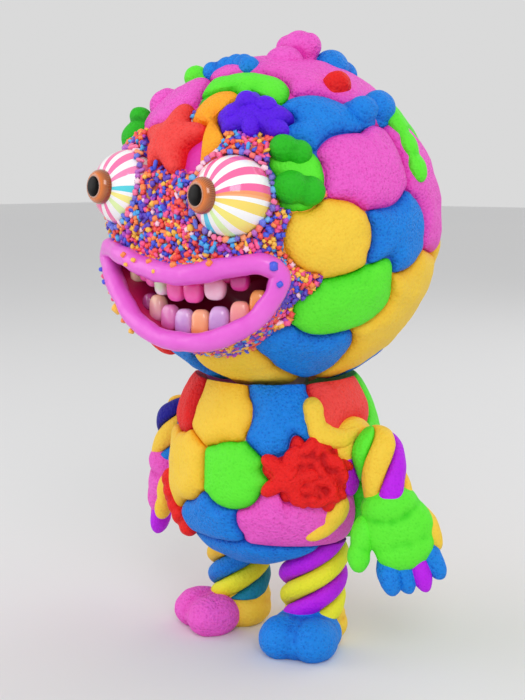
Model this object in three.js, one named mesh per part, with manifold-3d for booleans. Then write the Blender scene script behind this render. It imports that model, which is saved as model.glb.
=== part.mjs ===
// Vinyl art toy: a big round head, a pear-shaped torso, rope arms and legs, dressed in puffy clay patches.
// Millimetres, +Z up. The toy faces -Y and its left side is +X. It stands on Z = 0 under its own middle.
import * as THREE from 'three';
import { mergeVertices } from 'three/addons/utils/BufferGeometryUtils.js';
import Module from 'manifold-3d';

const wasm = await Module();
wasm.setup();

// ---------- driving dimensions ----------
const FIT = 0.35; // air left between two pieces that touch
const WALL = 3; // vinyl wall of the head and torso shells
const CLAY_SEAT = 1; // how far a clay patch sits off the shell it is pressed onto
const HEAD_GROOVE = 1.05; // degrees round the head left open between two neighbouring patches
const TORSO_GROOVE = 1.42; // the same on the torso
const CLAY_RISE = 4.2; // usual height of a patch above its seat
const CLAY_REACH = 6.2; // space kept for clay outside the head shell

const HEAD_RADIUS = 60;
const EYE_RADIUS = 14.6;
const EYE_PROUD = 1.4; // eyeball centre outside the head shell
const IRIS_RADIUS = 6.5;
const IRIS_RISE = 2.6;
const LIP_RADIUS = 4;
const LIP_PROUD = 5.5; // lip line outside the head shell
const MOUTH_DEPTH = 32; // from the head shell to the back of the mouth
const LINER_WALL = 1.5;
const GUM_RADIUS = 1.9; // rod that ties a row of teeth together
const TOOTH_WIDTH = 6.4;
const CROWN_KNOB_RISE = 7.4; // crown knob above the crown patch
const CROWN_KNOB_RADIUS = 5.4; // each of the knob's two lobes

const TORSO_HALF_WIDTH = 44.5;
const TORSO_HALF_DEPTH = 42;
const TORSO_DROP = 37; // widest section down to the underside
const TORSO_RISE = 60; // widest section up to where the form would close
const TORSO_CLAY = 4.5; // clay thickness over the torso shell
const TORSO_POWER = 2.2; // how square the torso's outline is
const TORSO_WIDEST_Z = 67;
const NECK_DISH_Z = 100.4; // lowest point of the dish that the head turns in
const NECK_RADIUS = 9;

const LEG_SPACING = 39;
const LEG_TOP_RADIUS = 14.4;
const LEG_ANKLE_RADIUS = 12;
const LEG_TOP_Z = 43.4;
const LEG_FOOT_Z = 14.6; // floor of the recess in the foot that takes the leg
const FOOT_LENGTH = 40;
const FOOT_WIDTH = 31;
const FOOT_SPLAY = 17; // degrees that each foot points outwards

const SHOULDER_Z = 82;
const SHOULDER_Y = -2;
const SHOULDER_RADIUS = 10.6;
const ARM_RADIUS = 9.6;
const ARM_LENGTH = 17; // shoulder centre to wrist
const ARM_LEAN = 18.5; // degrees that the arm hangs away from the body
const HAND_LENGTH = 37;
const HAND_WIDTH = 27;
const HAND_THICKNESS = 14;
const HAND_TURN = 45; // degrees that the back of the hand faces forwards
const PLUG_RADIUS = 4.6; // arm and leg plugs
const PLUG_LIP = 3; // how far a plug's end flange overhangs its hole
const PLUG_FLANGE = 2.5;

const BODY_SHIFT_Y = 3.6; // puts the middle of the toy's depth over the origin

// ---------- places that follow from them ----------
const HEAD_CENTRE_Z = NECK_DISH_Z + HEAD_RADIUS + CLAY_REACH;
const headCentre = new THREE.Vector3(0, 0, HEAD_CENTRE_Z);
const torsoCentre = new THREE.Vector3(0, 0, TORSO_WIDEST_Z);
const LIP_LINE_RADIUS = HEAD_RADIUS + LIP_PROUD;
const SOCKET_RADIUS = EYE_RADIUS + 2 * FIT;
const SHOULDER_SEAT_X = TORSO_HALF_WIDTH + 0.1;
const ARM_FACE_X = SHOULDER_SEAT_X + FIT;
const SHOULDER_X = ARM_FACE_X + 6.2;
const PLUG_WALL = 10; // thickness of the torso boss that the arm plug runs through
const POCKET_RADIUS = LEG_TOP_RADIUS + 0.7;
const POCKET_ROOF_Z = LEG_TOP_Z + FIT + 0.2;

// ---------- colours ----------
const YELLOW = 0xfcde55;
const LIME = 0x78ff50;
const BLUE = 0x1e8ce6;
const PINK = 0xf56ed7;
const CORAL = 0xff5050;
const PURPLE = 0x5a00d8;
const LIP_PINK = 0xf573eb;
const ORANGE = 0xcd5f14;
const IVORY = 0xfff4ea;
const SHELL = 0xf6c6d8;
const MOUTH_RED = 0x7a1038;
const TEETH_PINK = 0xf79ad0;
const TEETH_LILAC = 0xc9a0dc;
const BED_MIX = 0xc8509a;

const toy = new THREE.Group();
toy.position.y = BODY_SHIFT_Y;

// ---------- turning geometry into closed solids ----------
function signedVolume(positions, triangles) {
  const a = new THREE.Vector3();
  const b = new THREE.Vector3();
  const c = new THREE.Vector3();
  let sum = 0;
  for (let i = 0; i < triangles.length; i += 3) {
    a.fromArray(positions, triangles[i] * 3);
    b.fromArray(positions, triangles[i + 1] * 3);
    c.fromArray(positions, triangles[i + 2] * 3);
    sum += a.dot(b.cross(c));
  }
  return sum;
}

function solid(geometry) {
  const bare = new THREE.BufferGeometry();
  bare.setAttribute('position', geometry.getAttribute('position'));
  if (geometry.index) {
    bare.setIndex(geometry.index);
  }
  const merged = mergeVertices(bare, 1e-4);
  const positions = merged.getAttribute('position').array;
  const source = merged.index.array;
  const triangles = [];
  for (let i = 0; i < source.length; i += 3) {
    const [p, q, r] = [source[i], source[i + 1], source[i + 2]];
    if (p !== q && q !== r && r !== p) {
      triangles.push(p, q, r);
    }
  }
  if (signedVolume(positions, triangles) < 0) {
    triangles.reverse();
  }
  const mesh = new wasm.Mesh({
    numProp: 3,
    vertProperties: Float32Array.from(positions),
    triVerts: Uint32Array.from(triangles),
  });
  return new wasm.Manifold(mesh);
}

function geometryOf(manifold) {
  const found = manifold.getMesh();
  const geometry = new THREE.BufferGeometry();
  geometry.setAttribute('position', new THREE.BufferAttribute(found.vertProperties, 3));
  geometry.setIndex(new THREE.BufferAttribute(found.triVerts, 1));
  return geometry;
}

function moved(manifold, matrix) {
  return solid(geometryOf(manifold).applyMatrix4(matrix));
}

function add(name, manifold, color, roughness = 0.5) {
  const geometry = geometryOf(manifold);
  const material = new THREE.MeshStandardMaterial({ color, roughness, metalness: 0 });
  const mesh = new THREE.Mesh(geometry, material);
  mesh.name = name;
  toy.add(mesh);
}

// A left piece again on the right side of the body.
function mirrored(manifold) {
  return moved(manifold, new THREE.Matrix4().makeScale(-1, 1, 1));
}

function addPair(name, manifold, leftColor, rightColor, roughness) {
  add(`${name}_left`, manifold, leftColor, roughness);
  add(`${name}_right`, mirrored(manifold), rightColor, roughness);
}

function join(solids) {
  return solids.reduce((all, next) => all.add(next));
}

function cut(body, cutters) {
  return cutters.reduce((left, next) => left.subtract(next), body);
}

// ---------- simple solids ----------
function ball(radius, centre, across = 14, down = 9) {
  const geometry = new THREE.SphereGeometry(radius, across, down);
  geometry.rotateX(Math.PI / 2);
  geometry.translate(centre.x, centre.y, centre.z);
  return solid(geometry);
}

function egg(halves, centre, across = 9, down = 6, turn = new THREE.Euler()) {
  const geometry = new THREE.SphereGeometry(1, across, down);
  geometry.rotateX(Math.PI / 2);
  geometry.scale(...halves);
  geometry.applyMatrix4(new THREE.Matrix4().makeRotationFromEuler(turn));
  geometry.translate(centre.x, centre.y, centre.z);
  return solid(geometry);
}

// A turned solid about Z, from [radius, height] pairs that start and end on the axis.
function turned(profile, segments = 14) {
  const geometry = new THREE.LatheGeometry(profile.map(([r, z]) => new THREE.Vector2(r, z)), segments);
  geometry.rotateX(Math.PI / 2);
  return geometry;
}

function upright(profile, x, y, segments = 14) {
  const geometry = turned(profile, segments);
  geometry.translate(x, y, 0);
  return solid(geometry);
}

function rod(radius, x, y, fromZ, toZ, segments = 14) {
  return upright([[0, fromZ], [radius, fromZ], [radius, toZ], [0, toZ]], x, y, segments);
}

// A turned solid whose axis lies along X on the given side, its profile heights measured from the middle.
function sideways(profile, side, y, z, segments = 14) {
  const geometry = turned(profile, segments);
  geometry.rotateY(side * Math.PI / 2);
  geometry.translate(0, y, z);
  return solid(geometry);
}

function block(low, high) {
  const size = high.map((value, i) => value - low[i]);
  const geometry = new THREE.BoxGeometry(...size);
  geometry.translate(...low.map((value, i) => value + size[i] / 2));
  return solid(geometry);
}

// ---------- the two round forms that carry the clay ----------
function degrees(angle) {
  return THREE.MathUtils.degToRad(angle);
}

// Longitude 0 is the front (-Y) and grows towards the toy's left (+X).
function direction(longitude, latitude) {
  const across = Math.cos(degrees(latitude));
  return new THREE.Vector3(
    Math.sin(degrees(longitude)) * across,
    -Math.cos(degrees(longitude)) * across,
    Math.sin(degrees(latitude)),
  );
}

const headForm = {
  centre: headCentre,
  groove: HEAD_GROOVE,
  radius: () => HEAD_RADIUS,
};

// A ball about the middle of the head with the head shell's own facets.
function headBall(radius) {
  return ball(radius, headCentre, 24, 14);
}

function torsoRadius(toward, inset) {
  const flat = Math.hypot(toward.x / (TORSO_HALF_WIDTH - inset), toward.y / (TORSO_HALF_DEPTH - inset));
  const reach = toward.z > 0 ? TORSO_RISE : TORSO_DROP;
  const tall = Math.abs(toward.z) / (reach - inset);
  return (flat ** TORSO_POWER + tall ** TORSO_POWER) ** (-1 / TORSO_POWER);
}

const torsoForm = {
  centre: torsoCentre,
  groove: TORSO_GROOVE,
  radius: (toward) => torsoRadius(toward, TORSO_CLAY),
};

function torsoSolid(inset, across, down) {
  const geometry = new THREE.SphereGeometry(1, across, down);
  geometry.rotateX(Math.PI / 2);
  const positions = geometry.getAttribute('position');
  const point = new THREE.Vector3();
  for (let i = 0; i < positions.count; i += 1) {
    point.fromBufferAttribute(positions, i).normalize();
    point.multiplyScalar(torsoRadius(point, inset)).add(torsoCentre);
    positions.setXYZ(i, point.x, point.y, point.z);
  }
  return solid(geometry);
}

// ---------- clay patches ----------
// A patch is an oval on a round form: longitude, latitude, half angles across and up, turn, and lobes.
// A lobe [heading, reach, spread] pushes the outline outwards by reach degrees around that heading.
function reachOf(patch, heading) {
  const turn = heading - degrees(patch.turn ?? 0);
  const wide = Math.abs(Math.cos(turn)) / patch.wide;
  const tall = Math.abs(Math.sin(turn)) / patch.tall;
  let reach = (wide ** 2.3 + tall ** 2.3) ** (-1 / 2.3);
  for (const [toward, extra, spread] of patch.lobes ?? []) {
    const away = Math.atan2(Math.sin(heading - degrees(toward)), Math.cos(heading - degrees(toward)));
    reach += extra * Math.exp(-((away / degrees(spread)) ** 2));
  }
  return degrees(reach);
}

function axesOf(patch) {
  const out = direction(patch.lon, patch.lat);
  const east = new THREE.Vector3(Math.cos(degrees(patch.lon)), Math.sin(degrees(patch.lon)), 0);
  return { out, east, north: out.clone().cross(east) };
}

function located(patch) {
  return { ...patch, axes: axesOf(patch) };
}

function toward(axes, heading, away) {
  return axes.out.clone().multiplyScalar(Math.cos(away))
    .addScaledVector(axes.east, Math.sin(away) * Math.cos(heading))
    .addScaledVector(axes.north, Math.sin(away) * Math.sin(heading));
}

function covers(patch, ray, margin) {
  const { axes } = patch;
  const away = Math.acos(Math.min(1, Math.max(-1, ray.dot(axes.out))));
  const heading = Math.atan2(ray.dot(axes.north), ray.dot(axes.east));
  return away < reachOf(patch, heading) + margin;
}

// How far a patch runs along one heading before its own edge, a patch laid over it, or a kept-clear place.
function edgeOf(form, patch, heading, above, keptClear) {
  const { axes } = patch;
  const own = reachOf(patch, heading);
  const margin = degrees(form.groove);
  const step = degrees(0.25);
  for (let away = step; away < own; away += step) {
    const ray = toward(axes, heading, away);
    if (keptClear(ray) || above.some((other) => covers(other, ray, margin))) {
      return away - step;
    }
  }
  return own;
}

const PATCH_RINGS = [[0.5, 0.97], [0.88, 0.62]]; // share of the way to the edge, share of the full height
const UNDER_STEP = 11; // degrees between two rings of a patch's hollow underside

function clayPatch(form, patch, above, keptClear, rays = 14) {
  const { axes } = patch;
  const rise = patch.rise ?? CLAY_RISE;
  const at = (ray, height) => {
    const reach = form.radius(ray) + CLAY_SEAT + height;
    return ray.clone().multiplyScalar(reach).add(form.centre);
  };
  const headings = Array.from({ length: rays }, (_, i) => (i * 2 * Math.PI) / rays);
  const edges = headings.map((heading) => edgeOf(form, patch, heading, above, keptClear));
  const spot = (i, share, height) => at(toward(axes, headings[i], edges[i] * share), height);
  const ring = (share, height) => headings.map((_, i) => spot(i, share, height));
  const underCount = Math.ceil(Math.max(patch.wide, patch.tall) / UNDER_STEP) - 1;
  const under = Array.from({ length: underCount }, (_, i) => ring(1 - (i + 1) / (underCount + 1), 0));
  const over = PATCH_RINGS.map(([share, height]) => ring(share, rise * height));
  const rings = [...over, ring(1, 0), ...under];
  const points = [at(axes.out, rise), ...rings.flat(), at(axes.out, 0)];
  const last = points.length - 1;
  const triangles = [];
  for (let i = 0; i < rays; i += 1) {
    const next = (i + 1) % rays;
    triangles.push(0, 1 + i, 1 + next);
    for (let level = 0; level < rings.length - 1; level += 1) {
      const inner = 1 + level * rays;
      const outer = inner + rays;
      triangles.push(inner + i, outer + i, outer + next);
      triangles.push(inner + i, outer + next, inner + next);
    }
    const lowest = 1 + (rings.length - 1) * rays;
    triangles.push(last, lowest + next, lowest + i);
  }
  const geometry = new THREE.BufferGeometry();
  geometry.setAttribute('position', new THREE.Float32BufferAttribute(points.flatMap((p) => p.toArray()), 3));
  geometry.setIndex(triangles);
  return solid(geometry);
}

// ---------- eyes and mouth: where they are on the head ----------
const EYES = [
  { side: 'left', lon: 25.2, lat: 10.9 },
  { side: 'right', lon: -25.2, lat: 13.4 },
].map((eye) => ({
  ...eye,
  centre: direction(eye.lon, eye.lat).multiplyScalar(HEAD_RADIUS + EYE_PROUD).add(headCentre),
}));

const MOUTH_BACK = HEAD_RADIUS - MOUTH_DEPTH; // distance of the liner's back from the head's own axis
const PAST_LIPS = HEAD_RADIUS * 1.5; // far enough for a cutter that opens to the front
const LINER_INSET = 0.9; // liner outline inside the lip line
const LIP_BAND = LIP_RADIUS - 1.1; // the lips' backing reaches this far to both sides of the lip line

// The lip line, as longitude and latitude, from the left corner over the top and back underneath.
const LIP_POINTS = [
  [40.5, -13.5], [34.5, -10.5], [25, -12], [9.5, -14.7], [-5, -13.7], [-18, -10.2], [-34, -7.9], [-39, -11.5],
  [-33, -17], [-26, -22], [-19, -27.8], [-12.5, -33.5], [-2, -39.2], [10, -41], [21, -38.6], [31, -32.5],
  [36, -26], [39.5, -19.5],
];
const lipLine = new THREE.CatmullRomCurve3(
  LIP_POINTS.map(([lon, lat]) => new THREE.Vector3(lon, lat, 0)),
  true,
);
const LIP_STEPS = 26;
const lipOutline = lipLine.getPoints(LIP_STEPS).slice(0, LIP_STEPS);
const mouthMiddle = new THREE.Vector3(2, -24, 0);
const outwards = lipOutline.map((point, i) => {
  const before = lipOutline[(i + LIP_STEPS - 1) % LIP_STEPS];
  const after = lipOutline[(i + 1) % LIP_STEPS];
  const across = new THREE.Vector3(before.y - after.y, after.x - before.x, 0).normalize();
  return across.dot(point.clone().sub(mouthMiddle)) > 0 ? across : across.negate();
});

// A point given by longitude and latitude, on an upright cylinder of the given radius.
function lipPlace(point, radius) {
  const heading = degrees(point.x);
  const height = HEAD_CENTRE_Z + HEAD_RADIUS * Math.sin(degrees(point.y));
  return new THREE.Vector3(Math.sin(heading) * radius, -Math.cos(heading) * radius, height);
}

// The lip outline moved outwards by some millimetres.
function grownOutline(offset) {
  const angle = THREE.MathUtils.radToDeg(offset / HEAD_RADIUS);
  return lipOutline.map((point, i) => point.clone().addScaledVector(outwards[i], angle));
}

// A wedge of the lip outline that runs from the back of the mouth out past the lips.
function mouthWedge(offset, fromRadius, toRadius) {
  const outline = grownOutline(offset);
  const radii = [fromRadius, toRadius];
  const points = radii.flatMap((radius) => outline.map((point) => lipPlace(point, radius)));
  const centres = radii.map((radius) => lipPlace(mouthMiddle, radius));
  const triangles = [];
  for (let i = 0; i < LIP_STEPS; i += 1) {
    const next = (i + 1) % LIP_STEPS;
    triangles.push(i, next, LIP_STEPS + next, i, LIP_STEPS + next, LIP_STEPS + i);
    triangles.push(2 * LIP_STEPS, next, i, 2 * LIP_STEPS + 1, LIP_STEPS + i, LIP_STEPS + next);
  }
  const geometry = new THREE.BufferGeometry();
  const numbers = [...points, ...centres].flatMap((point) => point.toArray());
  geometry.setAttribute('position', new THREE.Float32BufferAttribute(numbers, 3));
  geometry.setIndex(triangles);
  return solid(geometry);
}

// ---------- head clay, top layer first ----------
const star = (turn, reach) => [0, 72, 144, 216, 288].map((heading) => [heading + turn, reach, 20]);
const HEAD_CLAY = [
  { name: 'clay_brow_star', lon: -5, lat: 30, wide: 8.5, tall: 8.5, rise: 7,
    lobes: star(18, 6), color: CORAL },
  { name: 'clay_brow_splat', lon: 30, lat: 39, wide: 9.5, tall: 7, rise: 7,
    lobes: [[0, 4, 18], [95, 4, 16], [180, 3, 20], [215, 3, 16], [315, 5, 16]], color: PURPLE },
  { name: 'clay_temple_knobs', lon: 46, lat: 19, wide: 9, tall: 10, rise: 8,
    lobes: [[110, 2.5, 22]], color: LIME },
  { name: 'clay_jaw_lime', lon: 66, lat: -26, wide: 19, tall: 11, turn: 15,
    lobes: [[48, 6, 16]], color: LIME },
  { name: 'clay_cheek_yellow', lon: 57, lat: -2, wide: 15.5, tall: 12.5, color: YELLOW },
  { name: 'clay_temple_pink', lon: 72, lat: 20, wide: 18.5, tall: 13.5, color: PINK },
  { name: 'clay_brow_lime', lon: 21, lat: 53, wide: 16, tall: 11, turn: -8, color: LIME },
  { name: 'clay_brow_blue', lon: 57, lat: 36, wide: 15, tall: 14, lobes: [[245, 6, 16]], color: BLUE },
  { name: 'clay_crown_pink', lon: 80, lat: 72, wide: 30, tall: 26, color: PINK },
  { name: 'clay_brow_pink', lon: -30, lat: 47, wide: 17, tall: 13, color: PINK },
  { name: 'clay_chin_yellow', lon: 12, lat: -55, wide: 15, tall: 14, color: YELLOW },
  { name: 'clay_jaw_blue', lon: 54, lat: -45, wide: 17, tall: 12, color: BLUE },
  { name: 'clay_chin_blue', lon: -20, lat: -54, wide: 13, tall: 13, color: BLUE },
  { name: 'clay_side_blue', lon: 85, lat: -1, wide: 15, tall: 14, color: BLUE },
  { name: 'clay_side_pink', lon: 109, lat: 15, wide: 16, tall: 21, color: PINK },
  { name: 'clay_side_yellow', lon: 98, lat: -32, wide: 21, tall: 22, color: YELLOW },
  { name: 'clay_back_lime', lon: 142, lat: 44, wide: 23, tall: 20, color: LIME },
  { name: 'clay_back_blue', lon: -148, lat: 54, wide: 26, tall: 22, color: BLUE },
  { name: 'clay_back_coral', lon: -82, lat: 44, wide: 22, tall: 19, color: CORAL },
  { name: 'clay_nape_yellow', lon: 146, lat: 2, wide: 22, tall: 23, color: YELLOW },
  { name: 'clay_nape_pink', lon: -170, lat: 12, wide: 22, tall: 22, color: PINK },
  { name: 'clay_nape_lime', lon: -126, lat: 2, wide: 22, tall: 24, color: LIME },
  { name: 'clay_cheek_blue', lon: -77, lat: 4, wide: 25, tall: 22, color: BLUE },
  { name: 'clay_under_blue', lon: 138, lat: -42, wide: 21, tall: 20, color: BLUE },
  { name: 'clay_under_coral', lon: -170, lat: -36, wide: 24, tall: 22, color: CORAL },
  { name: 'clay_under_yellow', lon: -118, lat: -42, wide: 24, tall: 20, color: YELLOW },
  { name: 'clay_jaw_pink', lon: -66, lat: -36, wide: 23, tall: 22, color: PINK },
].map(located);

const NECK_CLEAR = NECK_RADIUS + 6;
const SMILE_CLEAR = LIP_RADIUS + 5;
const EYE_CLEAR = Math.asin((EYE_RADIUS + 1) / (HEAD_RADIUS + EYE_PROUD));

function insideSmile(ray) {
  const longitude = THREE.MathUtils.radToDeg(Math.atan2(ray.x, -ray.y));
  if (Math.abs(longitude) > 60) {
    return false;
  }
  return [HEAD_RADIUS, HEAD_RADIUS + CLAY_REACH].some((radius) => {
    const latitude = THREE.MathUtils.radToDeg(Math.asin(Math.max(-1, (ray.z * radius) / HEAD_RADIUS)));
    const from = new THREE.Vector2(longitude - mouthMiddle.x, latitude - mouthMiddle.y);
    const heading = from.angle();
    const grown = THREE.MathUtils.radToDeg(SMILE_CLEAR / HEAD_RADIUS);
    const limit = Math.max(...lipOutline.map((point) => {
      const edge = new THREE.Vector2(point.x - mouthMiddle.x, point.y - mouthMiddle.y);
      const apart = Math.abs(Math.atan2(Math.sin(edge.angle() - heading), Math.cos(edge.angle() - heading)));
      return apart < 0.14 ? edge.length() + grown : 0;
    }));
    return from.length() < limit;
  });
}

function headClear(ray) {
  const nearNeck = ray.z < 0 && Math.hypot(ray.x, ray.y) * HEAD_RADIUS < NECK_CLEAR;
  const nearEye = EYES.some((eye) => ray.angleTo(direction(eye.lon, eye.lat)) < EYE_CLEAR);
  return nearNeck || nearEye || insideSmile(ray);
}

// The two-lobed knob that stands on the crown patch and is the toy's highest point.
function crownKnob() {
  const crown = HEAD_CLAY.find((patch) => patch.name === 'clay_crown_pink');
  const clayTop = HEAD_RADIUS + CLAY_SEAT + CLAY_RISE;
  const foot = direction(88, 80).multiplyScalar(clayTop).add(headCentre);
  const lobes = [-1, 1].map((side) => {
    const x = foot.x + side * CROWN_KNOB_RADIUS * 0.85;
    const z = HEAD_CENTRE_Z + clayTop + CROWN_KNOB_RISE - CROWN_KNOB_RADIUS;
    return ball(CROWN_KNOB_RADIUS, new THREE.Vector3(x, foot.y, z), 9, 6);
  });
  const stalk = egg([CROWN_KNOB_RADIUS * 1.4, CROWN_KNOB_RADIUS * 1.3, CLAY_RISE * 2.1], foot);
  return { crown, knob: join([stalk, ...lobes]).subtract(headBall(HEAD_RADIUS + CLAY_SEAT + 0.6)) };
}

function makeHeadClay() {
  const { crown, knob } = crownKnob();
  const smile = mouthWedge(LIP_RADIUS + 2 * FIT, MOUTH_BACK, PAST_LIPS);
  HEAD_CLAY.forEach((patch, i) => {
    const laid = clayPatch(headForm, patch, HEAD_CLAY.slice(0, i), headClear).subtract(smile);
    add(patch.name, patch === crown ? laid.add(knob) : laid, patch.color, 0.6);
  });
}

// The sprinkle bed fills the face between the patches, round the eyes and round the mouth.
const FACE_BED = located({
  lon: -1, lat: 2, wide: 57, tall: 40, rise: 3.4, lobes: [[318, 5, 20], [228, -13, 30]],
});

function makeFaceBed() {
  const bed = clayPatch(headForm, FACE_BED, HEAD_CLAY, () => false, 36);
  const eyes = EYES.map((eye) => ball(SOCKET_RADIUS, eye.centre));
  const smile = mouthWedge(LIP_RADIUS + 2 * FIT, MOUTH_BACK, PAST_LIPS);
  add('face_bed', cut(bed, [headBall(HEAD_RADIUS + FIT), ...eyes, smile]), BED_MIX, 0.8);
}

// ---------- head ----------
const HOLLOW_RADIUS = HEAD_RADIUS - WALL;
const NECK_HOLE_RADIUS = NECK_RADIUS + FIT + 0.1;

function makeHeadShell() {
  const cups = EYES.map((eye) => ball(SOCKET_RADIUS + WALL, eye.centre, 12, 8));
  const hollow = cut(ball(HOLLOW_RADIUS, headCentre, 16, 10), cups);
  const sockets = EYES.map((eye) => ball(SOCKET_RADIUS, eye.centre));
  const mouth = mouthWedge(2 * FIT - LINER_INSET, MOUTH_BACK - 4, PAST_LIPS);
  const neck = rod(NECK_HOLE_RADIUS, 0, 0, HEAD_CENTRE_Z - HEAD_RADIUS - 5, HEAD_CENTRE_Z - HEAD_RADIUS / 2);
  add('head_shell', cut(headBall(HEAD_RADIUS), [hollow, ...sockets, mouth, neck]), SHELL);
}

function makeMouth() {
  const cavity = mouthWedge(-LINER_INSET - LINER_WALL, MOUTH_BACK + LINER_WALL, PAST_LIPS);
  const liner = mouthWedge(-LINER_INSET, MOUTH_BACK, PAST_LIPS).intersect(headBall(HEAD_RADIUS + FIT));
  add('mouth_liner', liner.subtract(cavity), MOUTH_RED, 0.35);

  const lipCentres = lipOutline.map((point) => lipPlace(point, LIP_LINE_RADIUS));
  const lipCurve = new THREE.CatmullRomCurve3(lipCentres, true);
  const tube = solid(new THREE.TubeGeometry(lipCurve, 28, LIP_RADIUS, 7, true));
  const block = mouthWedge(LIP_BAND, MOUTH_BACK, LIP_LINE_RADIUS);
  const backing = cut(block, [mouthWedge(-LIP_BAND, 0, PAST_LIPS), headBall(HEAD_RADIUS + 3 * FIT)]);
  add('lips', tube.add(backing), LIP_PINK, 0.3);
}

// Height of the lip line over one longitude: the upper run when side is 1, the lower run when side is -1.
function lipHeight(longitude, side) {
  const cornerLongitude = 36;
  const splitLatitude = mouthMiddle.y + 3;
  const run = lipOutline.filter((point) => (
    side * (point.y - splitLatitude) > 0 || Math.abs(point.x) > cornerLongitude
  ));
  const gaps = run.map((point) => ({ gap: Math.abs(point.x - longitude), point }));
  const [near, far] = gaps.sort((a, b) => a.gap - b.gap);
  const share = near.gap / (near.gap + far.gap);
  const latitude = near.point.y * (1 - share) + far.point.y * share;
  return HEAD_CENTRE_Z + HEAD_RADIUS * Math.sin(degrees(latitude));
}

// One row of teeth from one longitude to another. Drop is from the lip line to the middle of a tooth.
function toothRow(row) {
  const spacing = THREE.MathUtils.radToDeg((row.halves[0] * 1.9) / TEETH_RADIUS);
  const count = Math.round((row.to - row.from) / spacing) + 1;
  const places = Array.from({ length: count }, (_, i) => row.from + (i * (row.to - row.from)) / (count - 1));
  const along = (radius, drop) => places.map((longitude) => {
    const z = lipHeight(longitude, row.side) - row.side * drop;
    return direction(longitude, 0).multiplyScalar(radius).setZ(z);
  });
  const teeth = along(TEETH_RADIUS, row.drop).map((centre, i) => (
    egg(row.halves, centre, 7, 5, new THREE.Euler(0, 0, degrees(places[i])))
  ));
  const section = new THREE.Shape(new THREE.Path().absarc(0, 0, GUM_RADIUS, 0, 2 * Math.PI).getPoints(3));
  const gum = new THREE.ExtrudeGeometry(section, {
    steps: count,
    extrudePath: new THREE.CatmullRomCurve3(along(TEETH_RADIUS - 1, row.drop - 1.6)),
    bevelEnabled: false,
  });
  return join([solid(gum), ...teeth]);
}

const TEETH_RADIUS = HEAD_RADIUS - 3; // distance of the teeth from the head's own axis
const UPPER_ROW = {
  side: 1, from: -20, to: 29, drop: LIP_RADIUS + 2.8, halves: [TOOTH_WIDTH * 0.5, 2.7, 3.5],
};
const LOWER_ROW = {
  side: -1, from: 0, to: 26, drop: LIP_RADIUS + 3.3, halves: [TOOTH_WIDTH * 0.58, 2.9, 3.9],
};

function makeTeeth() {
  add('upper_teeth', toothRow(UPPER_ROW), TEETH_PINK, 0.25);
  add('lower_teeth', toothRow(LOWER_ROW), TEETH_LILAC, 0.25);
}

// An iris ring with its domed pupil, as [share of the iris radius, share of its rise] from rim to middle.
const IRIS_PROFILE = [[0.86, 0.55], [0.68, 0.6], [0.52, 0.5], [0.36, 0.85], [0, 1]];

function makeEyes() {
  const seatRadius = EYE_RADIUS + FIT;
  const seat = (share) => [IRIS_RADIUS * share, Math.sqrt(seatRadius ** 2 - (IRIS_RADIUS * share) ** 2)];
  const front = IRIS_PROFILE.map(([share, rise]) => [IRIS_RADIUS * share, seatRadius + IRIS_RISE * rise]);
  const [rimRadius, rimSeat] = seat(1);
  const profile = [seat(0), seat(0.5), seat(0.97), [rimRadius, rimSeat + IRIS_RISE * 0.35], ...front];
  for (const eye of EYES) {
    add(`eyeball_${eye.side}`, ball(EYE_RADIUS, eye.centre, 16, 10), IVORY, 0.15);
    const iris = turned(profile, 12);
    iris.rotateX(Math.PI / 2);
    iris.translate(eye.centre.x, eye.centre.y, eye.centre.z);
    add(`iris_${eye.side}`, solid(iris), ORANGE, 0.2);
  }
}

// ---------- torso ----------
const DISH_RADIUS = HEAD_CENTRE_Z - NECK_DISH_Z;
const SIDES = [1, -1]; // the toy's left and right

const SEAT_RADIUS = SHOULDER_RADIUS - 0.8; // flat disc that the shoulder turns against

function shoulderSeats(radius, from = SHOULDER_SEAT_X - PLUG_WALL, to = SHOULDER_SEAT_X) {
  return SIDES.map((sign) => sideways(
    [[0, from], [radius, from], [radius, to], [0, to]], sign, SHOULDER_Y, SHOULDER_Z));
}

function makeTorsoShell() {
  const bossFrom = SHOULDER_SEAT_X - PLUG_WALL;
  const legs = (radius, from, to) => SIDES.map((sign) => rod(radius, (sign * LEG_SPACING) / 2, 0, from, to));
  const floor = TORSO_WIDEST_Z - TORSO_DROP - 5;
  const hollow = cut(torsoSolid(TORSO_CLAY + WALL, 16, 10), [
    ball(DISH_RADIUS + WALL, headCentre, 20, 12),
    ...shoulderSeats(SEAT_RADIUS, bossFrom, SHOULDER_SEAT_X + 5),
    ...legs(POCKET_RADIUS + WALL - 0.4, floor, POCKET_ROOF_Z + WALL),
  ]);
  const outer = join([torsoSolid(TORSO_CLAY, 24, 14), ...shoulderSeats(SEAT_RADIUS)]);
  const cutters = [
    ball(DISH_RADIUS + 0.4, headCentre, 30, 20),
    hollow,
    rod(NECK_HOLE_RADIUS, 0, 0, NECK_DISH_Z - 10, NECK_DISH_Z + 10),
    ...legs(POCKET_RADIUS, floor, POCKET_ROOF_Z),
    ...legs(PLUG_RADIUS + FIT, floor, POCKET_ROOF_Z + WALL + 2),
    ...shoulderSeats(PLUG_RADIUS + FIT, bossFrom - 2, SHOULDER_SEAT_X + 2),
    ...shoulderSeats(PLUG_RADIUS + PLUG_LIP + 2 * FIT, bossFrom - PLUG_FLANGE - 4, bossFrom),
  ];
  add('torso_shell', cut(outer, cutters), SHELL);
}

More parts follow.
